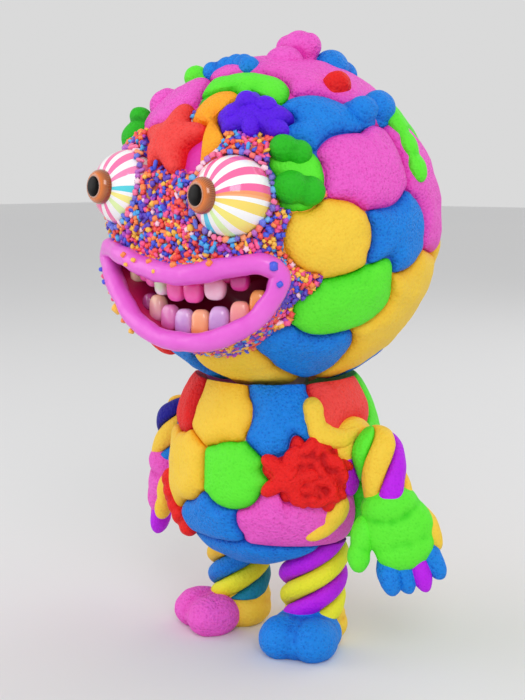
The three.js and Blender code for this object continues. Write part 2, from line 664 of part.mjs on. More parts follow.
function makeNeckPlug() {
  const dishUnder = NECK_DISH_Z - 0.4 - WALL - 0.6;
  const headUnder = HEAD_CENTRE_Z - HEAD_RADIUS;
  const headFloor = HEAD_CENTRE_Z - Math.sqrt(HOLLOW_RADIUS ** 2 - (NECK_RADIUS + 5) ** 2) + 0.9;
  const flange = NECK_RADIUS + 5;
  const collar = NECK_RADIUS + 4;
  const collarTop = headUnder + 0.7;
  add('neck_plug', upright([
    [0, dishUnder - PLUG_FLANGE], [flange, dishUnder - PLUG_FLANGE], [flange, dishUnder],
    [NECK_RADIUS, dishUnder], [NECK_RADIUS, NECK_DISH_Z + 1.4], [collar, NECK_DISH_Z + 1.8],
    [collar, collarTop], [NECK_RADIUS, collarTop], [NECK_RADIUS, headFloor], [flange, headFloor],
    [flange, headFloor + PLUG_FLANGE],
    [0, headFloor + PLUG_FLANGE],
  ], 0, 0), SHELL);
}

const TORSO_CLAY_PATCHES = [
  { name: 'clay_belly_star', lon: 54, lat: 12, wide: 16, tall: 11, rise: 5,
    lobes: [[30, 6, 18], [100, 8, 18], [170, 6, 20], [235, 6, 18], [300, 5, 20]], color: CORAL },
  { name: 'clay_belly_lime', lon: 14, lat: 9, wide: 18.5, tall: 18.5, rise: 4, color: LIME },
  { name: 'clay_chest_yellow', lon: 2, lat: 39, wide: 18, tall: 14, color: YELLOW },
  { name: 'clay_chest_blue', lon: 41, lat: 38, wide: 16.5, tall: 18, color: BLUE },
  { name: 'clay_shoulder_coral', lon: 86, lat: 42, wide: 21, tall: 14, color: CORAL },
  { name: 'clay_flank_yellow', lon: -26, lat: 8, wide: 21, tall: 19, rise: 4, color: YELLOW },
  { name: 'clay_chest_red', lon: -37, lat: 40, wide: 13, tall: 11, lobes: [[290, 7, 26]], color: CORAL },
  { name: 'clay_hip_pink', lon: 46, lat: -15, wide: 29, tall: 18, color: PINK },
  { name: 'clay_hip_blue', lon: -3, lat: -18, wide: 22, tall: 15, color: BLUE },
  { name: 'clay_under_belly', lon: 24, lat: -46, wide: 30, tall: 13, color: BLUE },
  { name: 'clay_back_left', lon: 128, lat: 14, wide: 32, tall: 34, color: LIME },
  { name: 'clay_back_middle', lon: -174, lat: 4, wide: 32, tall: 38, color: YELLOW },
  { name: 'clay_back_right', lon: -112, lat: 8, wide: 34, tall: 36, color: PINK },
].map(located);

function torsoClear(ray) {
  return [0, CLAY_RISE].some((height) => {
    const place = ray.clone().multiplyScalar(torsoForm.radius(ray) + CLAY_SEAT + height).add(torsoCentre);
    const nearHead = place.distanceTo(headCentre) < DISH_RADIUS + 0.8;
    const nearSeat = Math.abs(place.x) > TORSO_HALF_WIDTH / 2
      && Math.hypot(place.y - SHOULDER_Y, place.z - SHOULDER_Z) < SHOULDER_RADIUS + 0.8;
    const nearLeg = place.z < POCKET_ROOF_Z + 2.5
      && Math.hypot(Math.abs(place.x) - LEG_SPACING / 2, place.y) < POCKET_RADIUS + 0.6;
    return nearHead || nearSeat || nearLeg;
  });
}

function makeTorsoClay() {
  const thickness = TORSO_CLAY - CLAY_SEAT - 0.1;
  const nearShell = [torsoSolid(TORSO_CLAY - FIT, 24, 14), ...shoulderSeats(SEAT_RADIUS + FIT)];
  TORSO_CLAY_PATCHES.forEach((patch, i) => {
    const shaped = { ...patch, rise: Math.min(patch.rise ?? thickness, thickness + 1.4) };
    const above = TORSO_CLAY_PATCHES.slice(0, i);
    const laid = clayPatch(torsoForm, shaped, above, torsoClear);
    add(patch.name, cut(laid, nearShell), patch.color, 0.6);
  });
}

// ---------- arms: made for the left side and mirrored ----------
function armFrame() {
  const matrix = new THREE.Matrix4().makeTranslation(SHOULDER_X, SHOULDER_Y, SHOULDER_Z);
  return matrix.multiply(new THREE.Matrix4().makeRotationY(-degrees(ARM_LEAN)));
}

function makeArms() {
  const sleeve = turned([
    [0, -ARM_LENGTH], [ARM_RADIUS - 0.8, -ARM_LENGTH], [ARM_RADIUS, -ARM_LENGTH * 0.55], [ARM_RADIUS, 0],
    [ARM_RADIUS * 0.7, SHOULDER_RADIUS * 0.6], [0, SHOULDER_RADIUS * 0.75],
  ]);
  sleeve.applyMatrix4(armFrame());
  const shoulder = ball(SHOULDER_RADIUS, new THREE.Vector3(SHOULDER_X, SHOULDER_Y, SHOULDER_Z));
  const reach = TORSO_RISE + TORSO_HALF_DEPTH;
  const inward = block([-ARM_FACE_X, -reach, 0], [ARM_FACE_X, reach, 2 * reach]);
  const bossBack = SHOULDER_SEAT_X - PLUG_WALL - FIT;
  const plug = sideways([
    [0, bossBack - PLUG_FLANGE], [PLUG_RADIUS + PLUG_LIP, bossBack - PLUG_FLANGE],
    [PLUG_RADIUS + PLUG_LIP, bossBack], [PLUG_RADIUS, bossBack],
    [PLUG_RADIUS, ARM_FACE_X + 2], [0, ARM_FACE_X + 2],
  ], 1, SHOULDER_Y, SHOULDER_Z);
  addPair('arm', solid(sleeve).add(shoulder).subtract(inward).add(plug), PURPLE, BLUE);
}

// In the hand's own frame the fingers point down, the thumb is at -Y and the back of the hand faces +X.
function makeHands() {
  const half = HAND_WIDTH / 2;
  const thick = HAND_THICKNESS / 2;
  const lump = (halves, y, z, lean = 0) => {
    const geometry = new THREE.SphereGeometry(1, 8, 6);
    geometry.rotateX(Math.PI / 2);
    geometry.scale(...halves);
    geometry.rotateX(degrees(lean));
    return geometry.translate(0, y, z);
  };
  const finger = [thick * 0.8, half * 0.36, HAND_LENGTH * 0.25];
  const lumps = [
    turned([[0, -HAND_LENGTH * 0.3], [thick * 0.9, -HAND_LENGTH * 0.3], [thick, 0], [0, 0]], 12),
    lump([thick, half, HAND_LENGTH * 0.37], 0, -HAND_LENGTH * 0.4),
    lump(finger, -half * 0.62, -HAND_LENGTH * 0.73, -8),
    lump(finger, 0, -HAND_LENGTH * 0.75),
    lump(finger, half * 0.62, -HAND_LENGTH * 0.73, 8),
    lump(finger, -half * 0.92, -HAND_LENGTH * 0.55, -28),
  ];
  const frame = armFrame();
  frame.multiply(new THREE.Matrix4().makeTranslation(0, 0, -ARM_LENGTH - FIT));
  frame.multiply(new THREE.Matrix4().makeRotationZ(-degrees(90 - HAND_TURN)));
  const aside = HAND_WIDTH * 2;
  const wristCut = block([-aside, -aside, 0], [aside, aside, HAND_LENGTH]);
  const hand = join(lumps.map(solid)).subtract(wristCut);
  addPair('hand', moved(hand, frame), LIME, PINK);
}

// ---------- legs and feet: made for the left side and mirrored ----------
const LEG_X = LEG_SPACING / 2;

function makeLegs() {
  const flangeZ = POCKET_ROOF_Z + WALL + FIT;
  addPair('leg', upright([
    [0, LEG_FOOT_Z + FIT], [LEG_ANKLE_RADIUS, LEG_FOOT_Z + FIT], [LEG_ANKLE_RADIUS + 1, LEG_FOOT_Z + 8],
    [LEG_TOP_RADIUS, LEG_TOP_Z - 8], [LEG_TOP_RADIUS, LEG_TOP_Z], [PLUG_RADIUS, LEG_TOP_Z],
    [PLUG_RADIUS, flangeZ], [PLUG_RADIUS + PLUG_LIP, flangeZ],
    [PLUG_RADIUS + PLUG_LIP, flangeZ + PLUG_FLANGE], [0, flangeZ + PLUG_FLANGE],
  ], LEG_X, 0), PURPLE, YELLOW);
}

function makeFeet() {
  const half = FOOT_WIDTH / 2;
  const toeY = -FOOT_LENGTH * 0.43;
  const ankle = new THREE.Vector3(LEG_X, 0, 0);
  const turn = new THREE.Euler(0, 0, degrees(FOOT_SPLAY));
  const lump = (halves, x, y, z) => {
    const centre = new THREE.Vector3(x, y, z).applyEuler(turn).add(ankle);
    return egg(halves, centre, 10, 6, turn);
  };
  const lumps = [
    lump([half * 0.54, FOOT_LENGTH * 0.28, 9], -half * 0.46, toeY, 7.4),
    lump([half * 0.54, FOOT_LENGTH * 0.27, 9], half * 0.46, toeY + 1, 7.4),
    lump([half * 0.95, FOOT_LENGTH * 0.36, 10], 0, -FOOT_LENGTH * 0.1, 6.5),
    lump([half * 0.86, FOOT_LENGTH * 0.27, 9.5], 0, FOOT_LENGTH * 0.06, 6.5),
    rod(LEG_ANKLE_RADIUS + 1.6, LEG_X, 0, 4, LEG_FOOT_Z + 2),
  ];
  const reach = LEG_SPACING + FOOT_LENGTH * 2;
  const ground = block([-reach, -reach, -reach], [reach, reach, 0]);
  const recess = rod(LEG_ANKLE_RADIUS + FIT + 0.1, LEG_X, 0, LEG_FOOT_Z, LEG_FOOT_Z + 20);
  addPair('foot', cut(join(lumps), [ground, recess]), BLUE, PINK, 0.6);
}

makeHeadShell();
makeFaceBed();
makeMouth();
makeTeeth();
makeEyes();
makeHeadClay();
makeTorsoShell();
makeNeckPlug();
makeTorsoClay();
makeArms();
makeHands();
makeLegs();
makeFeet();

export default toy;
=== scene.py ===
import math

import bmesh
import bpy
import numpy as np
from mathutils import Matrix, Vector, noise


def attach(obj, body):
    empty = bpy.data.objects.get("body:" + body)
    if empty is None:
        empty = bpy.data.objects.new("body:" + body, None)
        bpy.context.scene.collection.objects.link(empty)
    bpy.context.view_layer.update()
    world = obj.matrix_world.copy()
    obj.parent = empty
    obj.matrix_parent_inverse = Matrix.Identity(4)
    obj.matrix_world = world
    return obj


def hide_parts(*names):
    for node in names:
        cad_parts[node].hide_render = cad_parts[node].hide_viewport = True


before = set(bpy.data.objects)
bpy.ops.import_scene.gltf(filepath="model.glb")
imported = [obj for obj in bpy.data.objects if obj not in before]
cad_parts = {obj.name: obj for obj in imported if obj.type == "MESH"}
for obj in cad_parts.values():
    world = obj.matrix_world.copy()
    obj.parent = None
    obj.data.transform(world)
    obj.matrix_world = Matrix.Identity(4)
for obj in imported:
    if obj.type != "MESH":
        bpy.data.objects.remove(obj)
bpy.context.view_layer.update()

# The toy faces -Y, its left side is +X. Shapes are worked out in millimetres on the toy's own
# middle axis, and MILLIMETRE and BODY_SHIFT_Y place them in the frame.
MILLIMETRE = 0.001
BODY_SHIFT_Y = 3.6
SEED = 7

HEAD_RADIUS = 60.0
HEAD_CENTRE = np.array([0.0, 0.0, 166.6])
NECK_DISH_Z = 100.4
DISH_RADIUS = 66.9  # round the head centre; nothing on the torso comes nearer
EYE_RADIUS = 14.6
EYE_PROUD = 1.4
IRIS_RADIUS = 6.5
FIT = 0.35
LIP_RADIUS = 4.0
LIP_LINE_RADIUS = 65.5
MOUTH_BACK = 28.0
LINER_INSET = 0.9
NECK_RADIUS = 9.0
CLAY_SEAT = 1.0
CLAY_RISE = 4.2
TORSO_CENTRE = np.array([0.0, 0.0, 67.0])
TORSO_HALF_WIDTH, TORSO_HALF_DEPTH = 44.5, 42.0
TORSO_RISE, TORSO_DROP = 60.0, 37.0
TORSO_CLAY = 4.5
TORSO_POWER = 2.2
LEG_X = 19.5
LEG_TOP_Z, LEG_FOOT_Z = 43.4, 14.6
FOOT_SPLAY = 17.0
SHOULDER = np.array([51.15, -2.0, 82.0])
SHOULDER_RADIUS = 10.6
SEAT_FACE_X = 44.6  # nothing of the torso at the shoulder stands further out
ARM_LENGTH = 17.0
ARM_LEAN = 18.5
HAND_TURN = 45.0
ROPE_DEPTH = 0.34  # how thick a strand is, as a share of its limb's radius
CLUSTER_BLOBS = 46
GOLDEN_ANGLE = 2.39996
CAMERA_AZIMUTH, CAMERA_ELEVATION = 40, 8
CAMERA_DISTANCE = 500.0
CAMERA_LENS = 64.3
FLOOR_HALF = 6.0
WORLD_STRENGTH = 0.7


def linear(code):
    """A web colour as linear red, green, blue and alpha."""
    parts = [int(code[i:i + 2], 16) / 255 for i in (0, 2, 4)]
    return [((c + 0.055) / 1.055) ** 2.4 if c > 0.04045 else c / 12.92 for c in parts] + [1.0]


# Each clay: its colour, the darker colour painted as shade into its creases, its pits and the clay between
# lumps, and how pitted its skin is.
CLAYS = {
    "yellow": ("f9d040", "f0a400", 0.35),
    "lime": ("60f032", "22c800", 0.35),
    "blue": ("1288ec", "0050c4", 0.8),
    "pink": ("f660d2", "e22cb0", 0.8),
    "coral": ("fa4a46", "e81018", 0.7),
    "red": ("f01a18", "c0000c", 0.6),
    "purple": ("5c10ea", "3000ac", 0.5),
    "magenta": ("c018ee", "8400c0", 0.4),
    "lemon": ("f2ee30", "c0d800", 0.3),
    "navy": ("140f98", "070750", 0.5),
    "green": ("26bc1a", "0a800c", 0.4),
    "teal": ("0a84a6", "045a78", 0.5),
    "amber": ("ffb024", "ff8408", 0.5),
}


# ---------- materials ----------
def new_group(name, inputs, outputs):
    group = bpy.data.node_groups.new(name, "ShaderNodeTree")
    for label, kind, value in inputs:
        socket = group.interface.new_socket(name=label, in_out="INPUT", socket_type=kind)
        if value is not None:
            socket.default_value = value
    for label, kind in outputs:
        group.interface.new_socket(name=label, in_out="OUTPUT", socket_type=kind)
    return group, group.nodes.new("NodeGroupInput"), group.nodes.new("NodeGroupOutput")


def math_node(tree, operation, first, second=None):
    node = tree.nodes.new("ShaderNodeMath")
    node.operation = operation
    for slot, value in enumerate((first, second)):
        if value is None:
            continue
        if isinstance(value, (int, float)):
            node.inputs[slot].default_value = value
        else:
            tree.links.new(value, node.inputs[slot])
    return node.outputs[0]


def mix_colour(tree, factor, first, second, blend="MIX"):
    node = tree.nodes.new("ShaderNodeMix")
    node.data_type = "RGBA"
    node.blend_type = blend
    for socket, value in ((node.inputs["Factor"], factor), (node.inputs[6], first), (node.inputs[7], second)):
        if hasattr(value, "links"):
            tree.links.new(value, socket)
        else:
            socket.default_value = value
    return node.outputs[2]


def clay_skin_group():
    """Hand-pressed foam clay: painted shade in the creases (from the crease attribute) and in the pits, soft
    mottling and a pitted skin.
    """
    group, inside, outside = new_group(
        "clay_skin",
        [("Colour", "NodeSocketColor", (1, 1, 1, 1)), ("Crease shade colour", "NodeSocketColor", (1, 1, 1, 1)),
         ("Pitting", "NodeSocketFloat", 0.5)],
        [("Colour", "NodeSocketColor"), ("Roughness", "NodeSocketFloat"), ("Height", "NodeSocketFloat")],
    )
    place = group.nodes.new("ShaderNodeTexCoord").outputs["Object"]

    def noise_at(scale, detail):
        node = group.nodes.new("ShaderNodeTexNoise")
        node.inputs["Scale"].default_value = scale
        node.inputs["Detail"].default_value = detail
        group.links.new(place, node.inputs["Vector"])
        return node.outputs["Fac"]

    pits = group.nodes.new("ShaderNodeTexVoronoi")
    pits.inputs["Scale"].default_value = 780
    group.links.new(place, pits.inputs["Vector"])
    fine = noise_at(1100, 3)
    broad = noise_at(140, 3)
    crease = group.nodes.new("ShaderNodeAttribute")
    crease.attribute_name = "crease"
    mottled = math_node(group, "MULTIPLY", math_node(group, "SUBTRACT", broad, 0.5), 0.35)
    # The crease attribute darkens towards the crease colour: painted shade. Mottled adds random tone.
    depth = math_node(group, "ADD", math_node(group, "MULTIPLY", crease.outputs["Fac"], 0.95), mottled)
    depth.node.use_clamp = True
    # The middles of the pit cells are darkened towards the crease colour: painted shade in the pits.
    dots = math_node(group, "MULTIPLY", math_node(group, "SUBTRACT", 0.42, pits.outputs["Distance"]), 1.5)
    dots.node.use_clamp = True
    pit_shade = math_node(group, "MULTIPLY", math_node(group, "MULTIPLY", dots, 1.3), inside.outputs["Pitting"])
    shade_and_mottle = math_node(group, "ADD", depth, pit_shade)
    shade_and_mottle.node.use_clamp = True
    colour = mix_colour(group, shade_and_mottle, inside.outputs["Colour"], inside.outputs["Crease shade colour"])
    pitted = math_node(group, "ADD", math_node(group, "MULTIPLY", pits.outputs["Distance"], 0.6), fine)
    group.links.new(colour, outside.inputs["Colour"])
    height = math_node(group, "MULTIPLY", pitted, inside.outputs["Pitting"])
    group.links.new(height, outside.inputs["Height"])
    rough = math_node(group, "ADD", math_node(group, "MULTIPLY", fine, 0.16), 0.48)
    group.links.new(rough, outside.inputs["Roughness"])
    return group


def principled(name):
    material = bpy.data.materials.new(name)
    material.use_nodes = True
    tree = material.node_tree
    return material, tree, tree.nodes["Principled BSDF"]


def bump_into(tree, shader, height, distance, strength=1.0):
    bump = tree.nodes.new("ShaderNodeBump")
    bump.inputs["Distance"].default_value = distance
    bump.inputs["Strength"].default_value = strength
    tree.links.new(height, bump.inputs["Height"])
    tree.links.new(bump.outputs["Normal"], shader.inputs["Normal"])


CLAY_SKIN = clay_skin_group()


def clay_material(name):
    foam = name.replace("clay_", "foam_")
    if foam in bpy.data.materials:
        return bpy.data.materials[foam]
    code, crease_shade_code, pitting = CLAYS[name.removeprefix("clay_")]
    material, tree, shader = principled(foam)
    skin = tree.nodes.new("ShaderNodeGroup")
    skin.node_tree = CLAY_SKIN
    skin.inputs["Colour"].default_value = linear(code)
    skin.inputs["Crease shade colour"].default_value = linear(crease_shade_code)
    skin.inputs["Pitting"].default_value = pitting
    tree.links.new(skin.outputs["Colour"], shader.inputs["Base Color"])
    tree.links.new(skin.outputs["Roughness"], shader.inputs["Roughness"])
    shader.inputs["Specular IOR Level"].default_value = 0.25
    bump_into(tree, shader, skin.outputs["Height"], 0.001)
    return material


# ---------- meshes ----------
def to_frame(points):
    """Toy millimetres to the frame's metres."""
    return (np.asarray(points, dtype=float) + [0, BODY_SHIFT_Y, 0]) * MILLIMETRE


def add_piece(name, points, faces, material, body, node=None, crease=None, smooth=True):
    mesh = bpy.data.meshes.new(name)
    mesh.from_pydata(to_frame(points).tolist(), [], [tuple(int(i) for i in face) for face in faces])
    mesh.validate()
    bm = bmesh.new()
    bm.from_mesh(mesh)
    bmesh.ops.recalc_face_normals(bm, faces=bm.faces)
    bm.to_mesh(mesh)
    bm.free()
    if smooth:
        mesh.polygons.foreach_set("use_smooth", [True] * len(mesh.polygons))
    if crease is not None and len(crease) == len(mesh.vertices):
        layer = mesh.attributes.new("crease", "FLOAT", "POINT")
        layer.data.foreach_set("value", np.asarray(crease, dtype=np.float32))
    piece = bpy.data.objects.new(name, mesh)
    bpy.context.scene.collection.objects.link(piece)
    mesh.materials.append(material)
    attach(piece, body)
    if node:
        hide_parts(node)
    return piece


def grid_faces(rows, columns, wrap=True):
    """Quads over rows x columns of points, joined round when wrap is true."""
    faces = []
    last = columns if wrap else columns - 1
    for row in range(rows - 1):
        for column in range(last):
            beside = (column + 1) % columns
            a, b = row * columns + column, row * columns + beside
            faces.append((a, b, b + columns, a + columns))
    return faces


def lumpy(points, size, height, offset=0.0):
    """Smooth hand-made unevenness at each point, between about minus and plus height."""
    shift = Vector((offset, 2 * offset, 3 * offset))
    return np.array([noise.noise(Vector(p) / size + shift) for p in points]) * height


# ---------- the two round forms that carry the clay ----------
def direction(longitude, latitude):
    lon, lat = np.radians(longitude), np.radians(latitude)
    return np.stack([np.sin(lon) * np.cos(lat), -np.cos(lon) * np.cos(lat), np.sin(lat)], axis=-1)


def head_radius(rays):
    return np.full(rays.shape[:-1], HEAD_RADIUS)


def torso_radius(rays):
    flat = np.hypot(rays[..., 0] / (TORSO_HALF_WIDTH - TORSO_CLAY),
                    rays[..., 1] / (TORSO_HALF_DEPTH - TORSO_CLAY))
    reach = np.where(rays[..., 2] > 0, TORSO_RISE, TORSO_DROP) - TORSO_CLAY
    tall = np.abs(rays[..., 2]) / reach
    return (flat ** TORSO_POWER + tall ** TORSO_POWER) ** (-1 / TORSO_POWER)


HEAD = {"centre": HEAD_CENTRE, "size": HEAD_RADIUS, "radius": head_radius, "body": "head"}
TORSO = {"centre": TORSO_CENTRE, "size": TORSO_HALF_WIDTH, "radius": torso_radius, "body": "torso"}


def axes_at(longitude, latitude):
    out = direction(longitude, latitude)
    east = np.array([math.cos(math.radians(longitude)), math.sin(math.radians(longitude)), 0.0])
    return out, east, np.cross(out, east)


def reach_of(patch, headings):
    """How far a patch reaches along each heading, in radians."""
    turned = headings - math.radians(patch.get("turn", 0))
    power = patch.get("power", 2.3)
    wide = np.abs(np.cos(turned)) / patch["wide"]
    tall = np.abs(np.sin(turned)) / patch["tall"]
    reach = (wide ** power + tall ** power) ** (-1 / power)
    for toward, extra, spread in patch.get("lobes", ()):
        away = headings - math.radians(toward)
        away = np.arctan2(np.sin(away), np.cos(away))
        reach = reach + extra * np.exp(-((away / math.radians(spread)) ** 2))
    return np.radians(reach)


def rays_from(patch, headings, away):
    out, east, north = patch["axes"]
    across = np.cos(headings)[..., None] * east + np.sin(headings)[..., None] * north
    return np.cos(away)[..., None] * out + np.sin(away)[..., None] * across


def covers(patch, rays, margin):
    out, east, north = patch["axes"]
    away = np.arccos(np.clip(rays @ out, -1, 1))
    heading = np.arctan2(rays @ north, rays @ east)
    return away < reach_of(patch, heading) + margin


PATCH_RAYS = 128
PATCH_RINGS = 30
CLAY_GAP = -0.25  # neighbouring lumps press into each other by this much
CLAY_GROW = 1.7  # a patch may spread this far past its own outline into empty space
EDGE_STEP = math.radians(0.25)


def share_of(patch, rays):
    """How far towards a patch's own outline each ray is: 0 at its middle, 1 on the outline."""
    out, east, north = patch["axes"]
    away = np.arccos(np.clip(rays @ out, -1, 1))
    return away / reach_of(patch, np.arctan2(rays @ north, rays @ east))


def patch_edges(form, patch, others, clear, rays=PATCH_RAYS):
    """Where a patch ends along each heading. Others are the patches laid over it and those beside it."""
    above, below = others
    headings = np.arange(rays) * (2 * math.pi / rays)
    own = reach_of(patch, headings)
    grown = own * patch.get("grow", CLAY_GROW)
    steps = np.arange(EDGE_STEP, grown.max() + EDGE_STEP, EDGE_STEP)
    away = np.broadcast_to(steps, (rays, len(steps)))
    tried = rays_from(patch, np.broadcast_to(headings[:, None], away.shape), away)
    stopped = away >= grown[:, None]
    margin = patch.get("gap", CLAY_GAP) / form["size"]
    share = away / own[:, None]
    for other in above:
        stopped = stopped | covers(other, tried, margin)
    for other in [*above, *below]:
        if other.get("grow", CLAY_GROW) > 1:
            stopped = stopped | ((share > 1) & (share_of(other, tried) < share))
    if form is HEAD:
        stopped = stopped | ((share > 1) & covers(FACE_BED, tried, 0))
    if clear is not None:
        stopped = stopped | clear(tried)
    edges = np.where(stopped.any(axis=1), steps[stopped.argmax(axis=1)] - EDGE_STEP, own)
    for _ in range(patch.get("rounding", 3)):
        beside = (np.roll(edges, 1) + np.roll(edges, -1)) / 2
        edges = np.minimum(edges, 0.5 * edges + 0.5 * beside + EDGE_STEP * 0.05)
    return headings, np.maximum(edges, EDGE_STEP)


def clay_lump(name, form, patch, others, clear, node=None):
    """One pillow of clay pressed onto a round form, closed underneath."""
    headings, edges = patch_edges(form, patch, others, clear)
    rise = patch.get("rise", CLAY_RISE)
    shoulder = patch.get("shoulder", 6.5)
    inner = np.linspace(0, 1, PATCH_RINGS)[1:]
    shares = 1 - (1 - inner) ** 1.6
    away = shares[:, None] * edges[None, :]
    rays = rays_from(patch, np.broadcast_to(headings, away.shape), away)
    outline = rays[-1, ::5] * form["size"]
    apart = np.linalg.norm((rays * form["size"])[:, :, None] - outline[None, None], axis=-1)
    from_edge = np.minimum((edges[None, :] - away) * form["size"], apart.min(axis=-1))
    roll = np.clip(from_edge / shoulder, 0, 1)
    for _ in range(30):
        beside = (np.roll(roll, 1, axis=1) + np.roll(roll, -1, axis=1))[1:-5] / 4
        roll[1:-5] = 0.5 * beside + (roll[:-6] + roll[2:-4]) / 8 + roll[1:-5] / 2
    pillow = 0.8 * np.sqrt(1 - (1 - roll) ** 2) + 0.2 * (1 - shares[:, None] ** 2)
    base = form["radius"](rays) + CLAY_SEAT
    surface = rays * (base + rise * pillow)[..., None] + form["centre"]
    top = patch["axes"][0] * (form["radius"](patch["axes"][0]) + CLAY_SEAT + rise) + form["centre"]
    under = patch["axes"][0] * (form["radius"](patch["axes"][0]) - 0.5) + form["centre"]
    points = np.concatenate([top[None], surface.reshape(-1, 3)])
    normal = (points - form["centre"]) / np.linalg.norm(points - form["centre"], axis=1)[:, None]
    fade = np.concatenate([[1.0], np.repeat(1 - shares ** 6, len(headings))])
    seed = (sum(map(ord, name)) % 97) * 1.7
    bumps = lumpy(points, 9.0, 0.75, seed) + lumpy(points, 3.2, 0.16 * patch.get("rough", 1.0), seed)
    points = points + normal * (bumps * fade)[:, None]
    rim = rays[-1] * (form["radius"](rays[-1]) - 0.5)[..., None] + form["centre"]
    points = np.concatenate([points, rim, under[None]])
    if form is TORSO:
        points = below_head(points)
    columns = len(headings)
    faces = [(0, 1 + i, 1 + (i + 1) % columns) for i in range(columns)]
    faces += [tuple(1 + i for i in face) for face in grid_faces(PATCH_RINGS, columns)]
    last = len(points) - 1
    lowest = 1 + (PATCH_RINGS - 1) * columns
    faces += [(last, lowest + (i + 1) % columns, lowest + i) for i in range(columns)]
    # Darker towards the lump's outline, where it dips into the clay around it, and fully dark on the rim and
    # underside: painted shade.
    edge_shade = np.exp(-from_edge / 1.5).reshape(-1)
    crease = np.concatenate([[0.0], edge_shade, np.ones(columns + 1)])
    return add_piece(name, points, faces, clay_material("clay_" + patch["clay"]), form["body"],
                     node, crease)


# ---------- lip line ----------
LIP_POINTS = [
    (40.5, -13.5), (34.5, -10.5), (25, -12), (9.5, -14.7), (-5, -13.7), (-18, -10.2), (-34, -7.9),
    (-39, -11.5),
    (-33, -17), (-26, -22), (-19, -27.8), (-12.5, -33.5), (-2, -39.2), (10, -41), (21, -38.6), (31, -32.5),
    (36, -26), (39.5, -19.5),
]
MOUTH_MIDDLE = np.array([2.0, -24.0])


def smooth_loop(points, count):
    """A closed Catmull-Rom curve through the points, evenly sampled."""
    points = np.asarray(points, dtype=float)
    fine = []
    total = len(points)
    for i in range(total):
        p0, p1, p2, p3 = (points[(i + k - 1) % total] for k in range(4))
        for t in np.linspace(0, 1, 24, endpoint=False):
            fine.append(0.5 * (2 * p1 + (p2 - p0) * t + (2 * p0 - 5 * p1 + 4 * p2 - p3) * t * t
                               + (3 * p1 - p0 - 3 * p2 + p3) * t ** 3))
    fine = np.array(fine + [fine[0]])
    length = np.concatenate([[0], np.cumsum(np.linalg.norm(np.diff(fine, axis=0), axis=1))])
    wanted = np.linspace(0, length[-1], count, endpoint=False)
    return np.stack([np.interp(wanted, length, fine[:, k]) for k in range(fine.shape[1])], axis=1)


LIP_STEPS = 200
LIP_LINE = smooth_loop(LIP_POINTS, LIP_STEPS)
LIP_ALONG = np.roll(LIP_LINE, -1, axis=0) - np.roll(LIP_LINE, 1, axis=0)
LIP_OUT = np.stack([-LIP_ALONG[:, 1], LIP_ALONG[:, 0]], axis=1)
LIP_OUT /= np.linalg.norm(LIP_OUT, axis=1)[:, None]
LIP_OUT *= np.sign(((LIP_LINE - MOUTH_MIDDLE) * LIP_OUT).sum(axis=1))[:, None]


def lip_place(points, radius):
    """Longitude and latitude points set on an upright cylinder of the given radius."""
    heading = np.radians(points[..., 0])
    height = HEAD_CENTRE[2] + HEAD_RADIUS * np.sin(np.radians(points[..., 1]))
    return np.stack([np.sin(heading) * radius, -np.cos(heading) * radius, height + 0 * heading], axis=-1)


def from_lips(rays, radius=HEAD_RADIUS):
    """Millimetres from the lip line for rays from the head's middle, negative inside the mouth."""
    longitude = np.degrees(np.arctan2(rays[..., 0], -rays[..., 1]))
    latitude = np.degrees(np.arcsin(np.clip(rays[..., 2] * radius / HEAD_RADIUS, -1, 1)))
    flat = np.stack([longitude, latitude], axis=-1).reshape(-1, 2)
    gaps = flat[:, None, :] - LIP_LINE[None]
    nearest = np.linalg.norm(gaps, axis=2).argmin(axis=1)
    offset = flat - LIP_LINE[nearest]
    side = np.sign((offset * LIP_OUT[nearest]).sum(axis=1))
    apart = np.linalg.norm(offset, axis=1) * side * math.radians(HEAD_RADIUS)
    far = np.abs(flat[:, 0]) > 75
    return np.where(far, 99.0, apart).reshape(longitude.shape)


# ---------- where the eyes sit ----------
EYES = [("left", 25.2, 10.9), ("right", -25.2, 13.4)]
EYE_CENTRES = {side: direction(longitude, latitude) * (HEAD_RADIUS + EYE_PROUD) + HEAD_CENTRE
               for side, longitude, latitude in EYES}


def from_eyes(rays):
    """Angle in degrees from the nearest eye's middle."""
    apart = [np.degrees(np.arccos(np.clip(rays @ direction(longitude, latitude), -1, 1)))
             for _, longitude, latitude in EYES]
    return np.minimum(*apart)


def head_clear(rays):
    near_neck = (rays[..., 2] < 0) & (np.hypot(rays[..., 0], rays[..., 1]) * HEAD_RADIUS < NECK_RADIUS + 6)
    near_eye = from_eyes(rays) < 14.9
    return near_neck | near_eye | (from_lips(rays) < LIP_RADIUS + 0.4)


def star(turn, reach, spread=20):
    return [(heading + turn, reach, spread) for heading in (0, 72, 144, 216, 288)]


def located(patches):
    return [{**patch, "axes": axes_at(patch["lon"], patch["lat"])} for patch in patches]


def lump(name, clay, lon, lat, wide, tall, **more):
    return {"name": name, "clay": clay, "lon": lon, "lat": lat, "wide": wide, "tall": tall, **more}


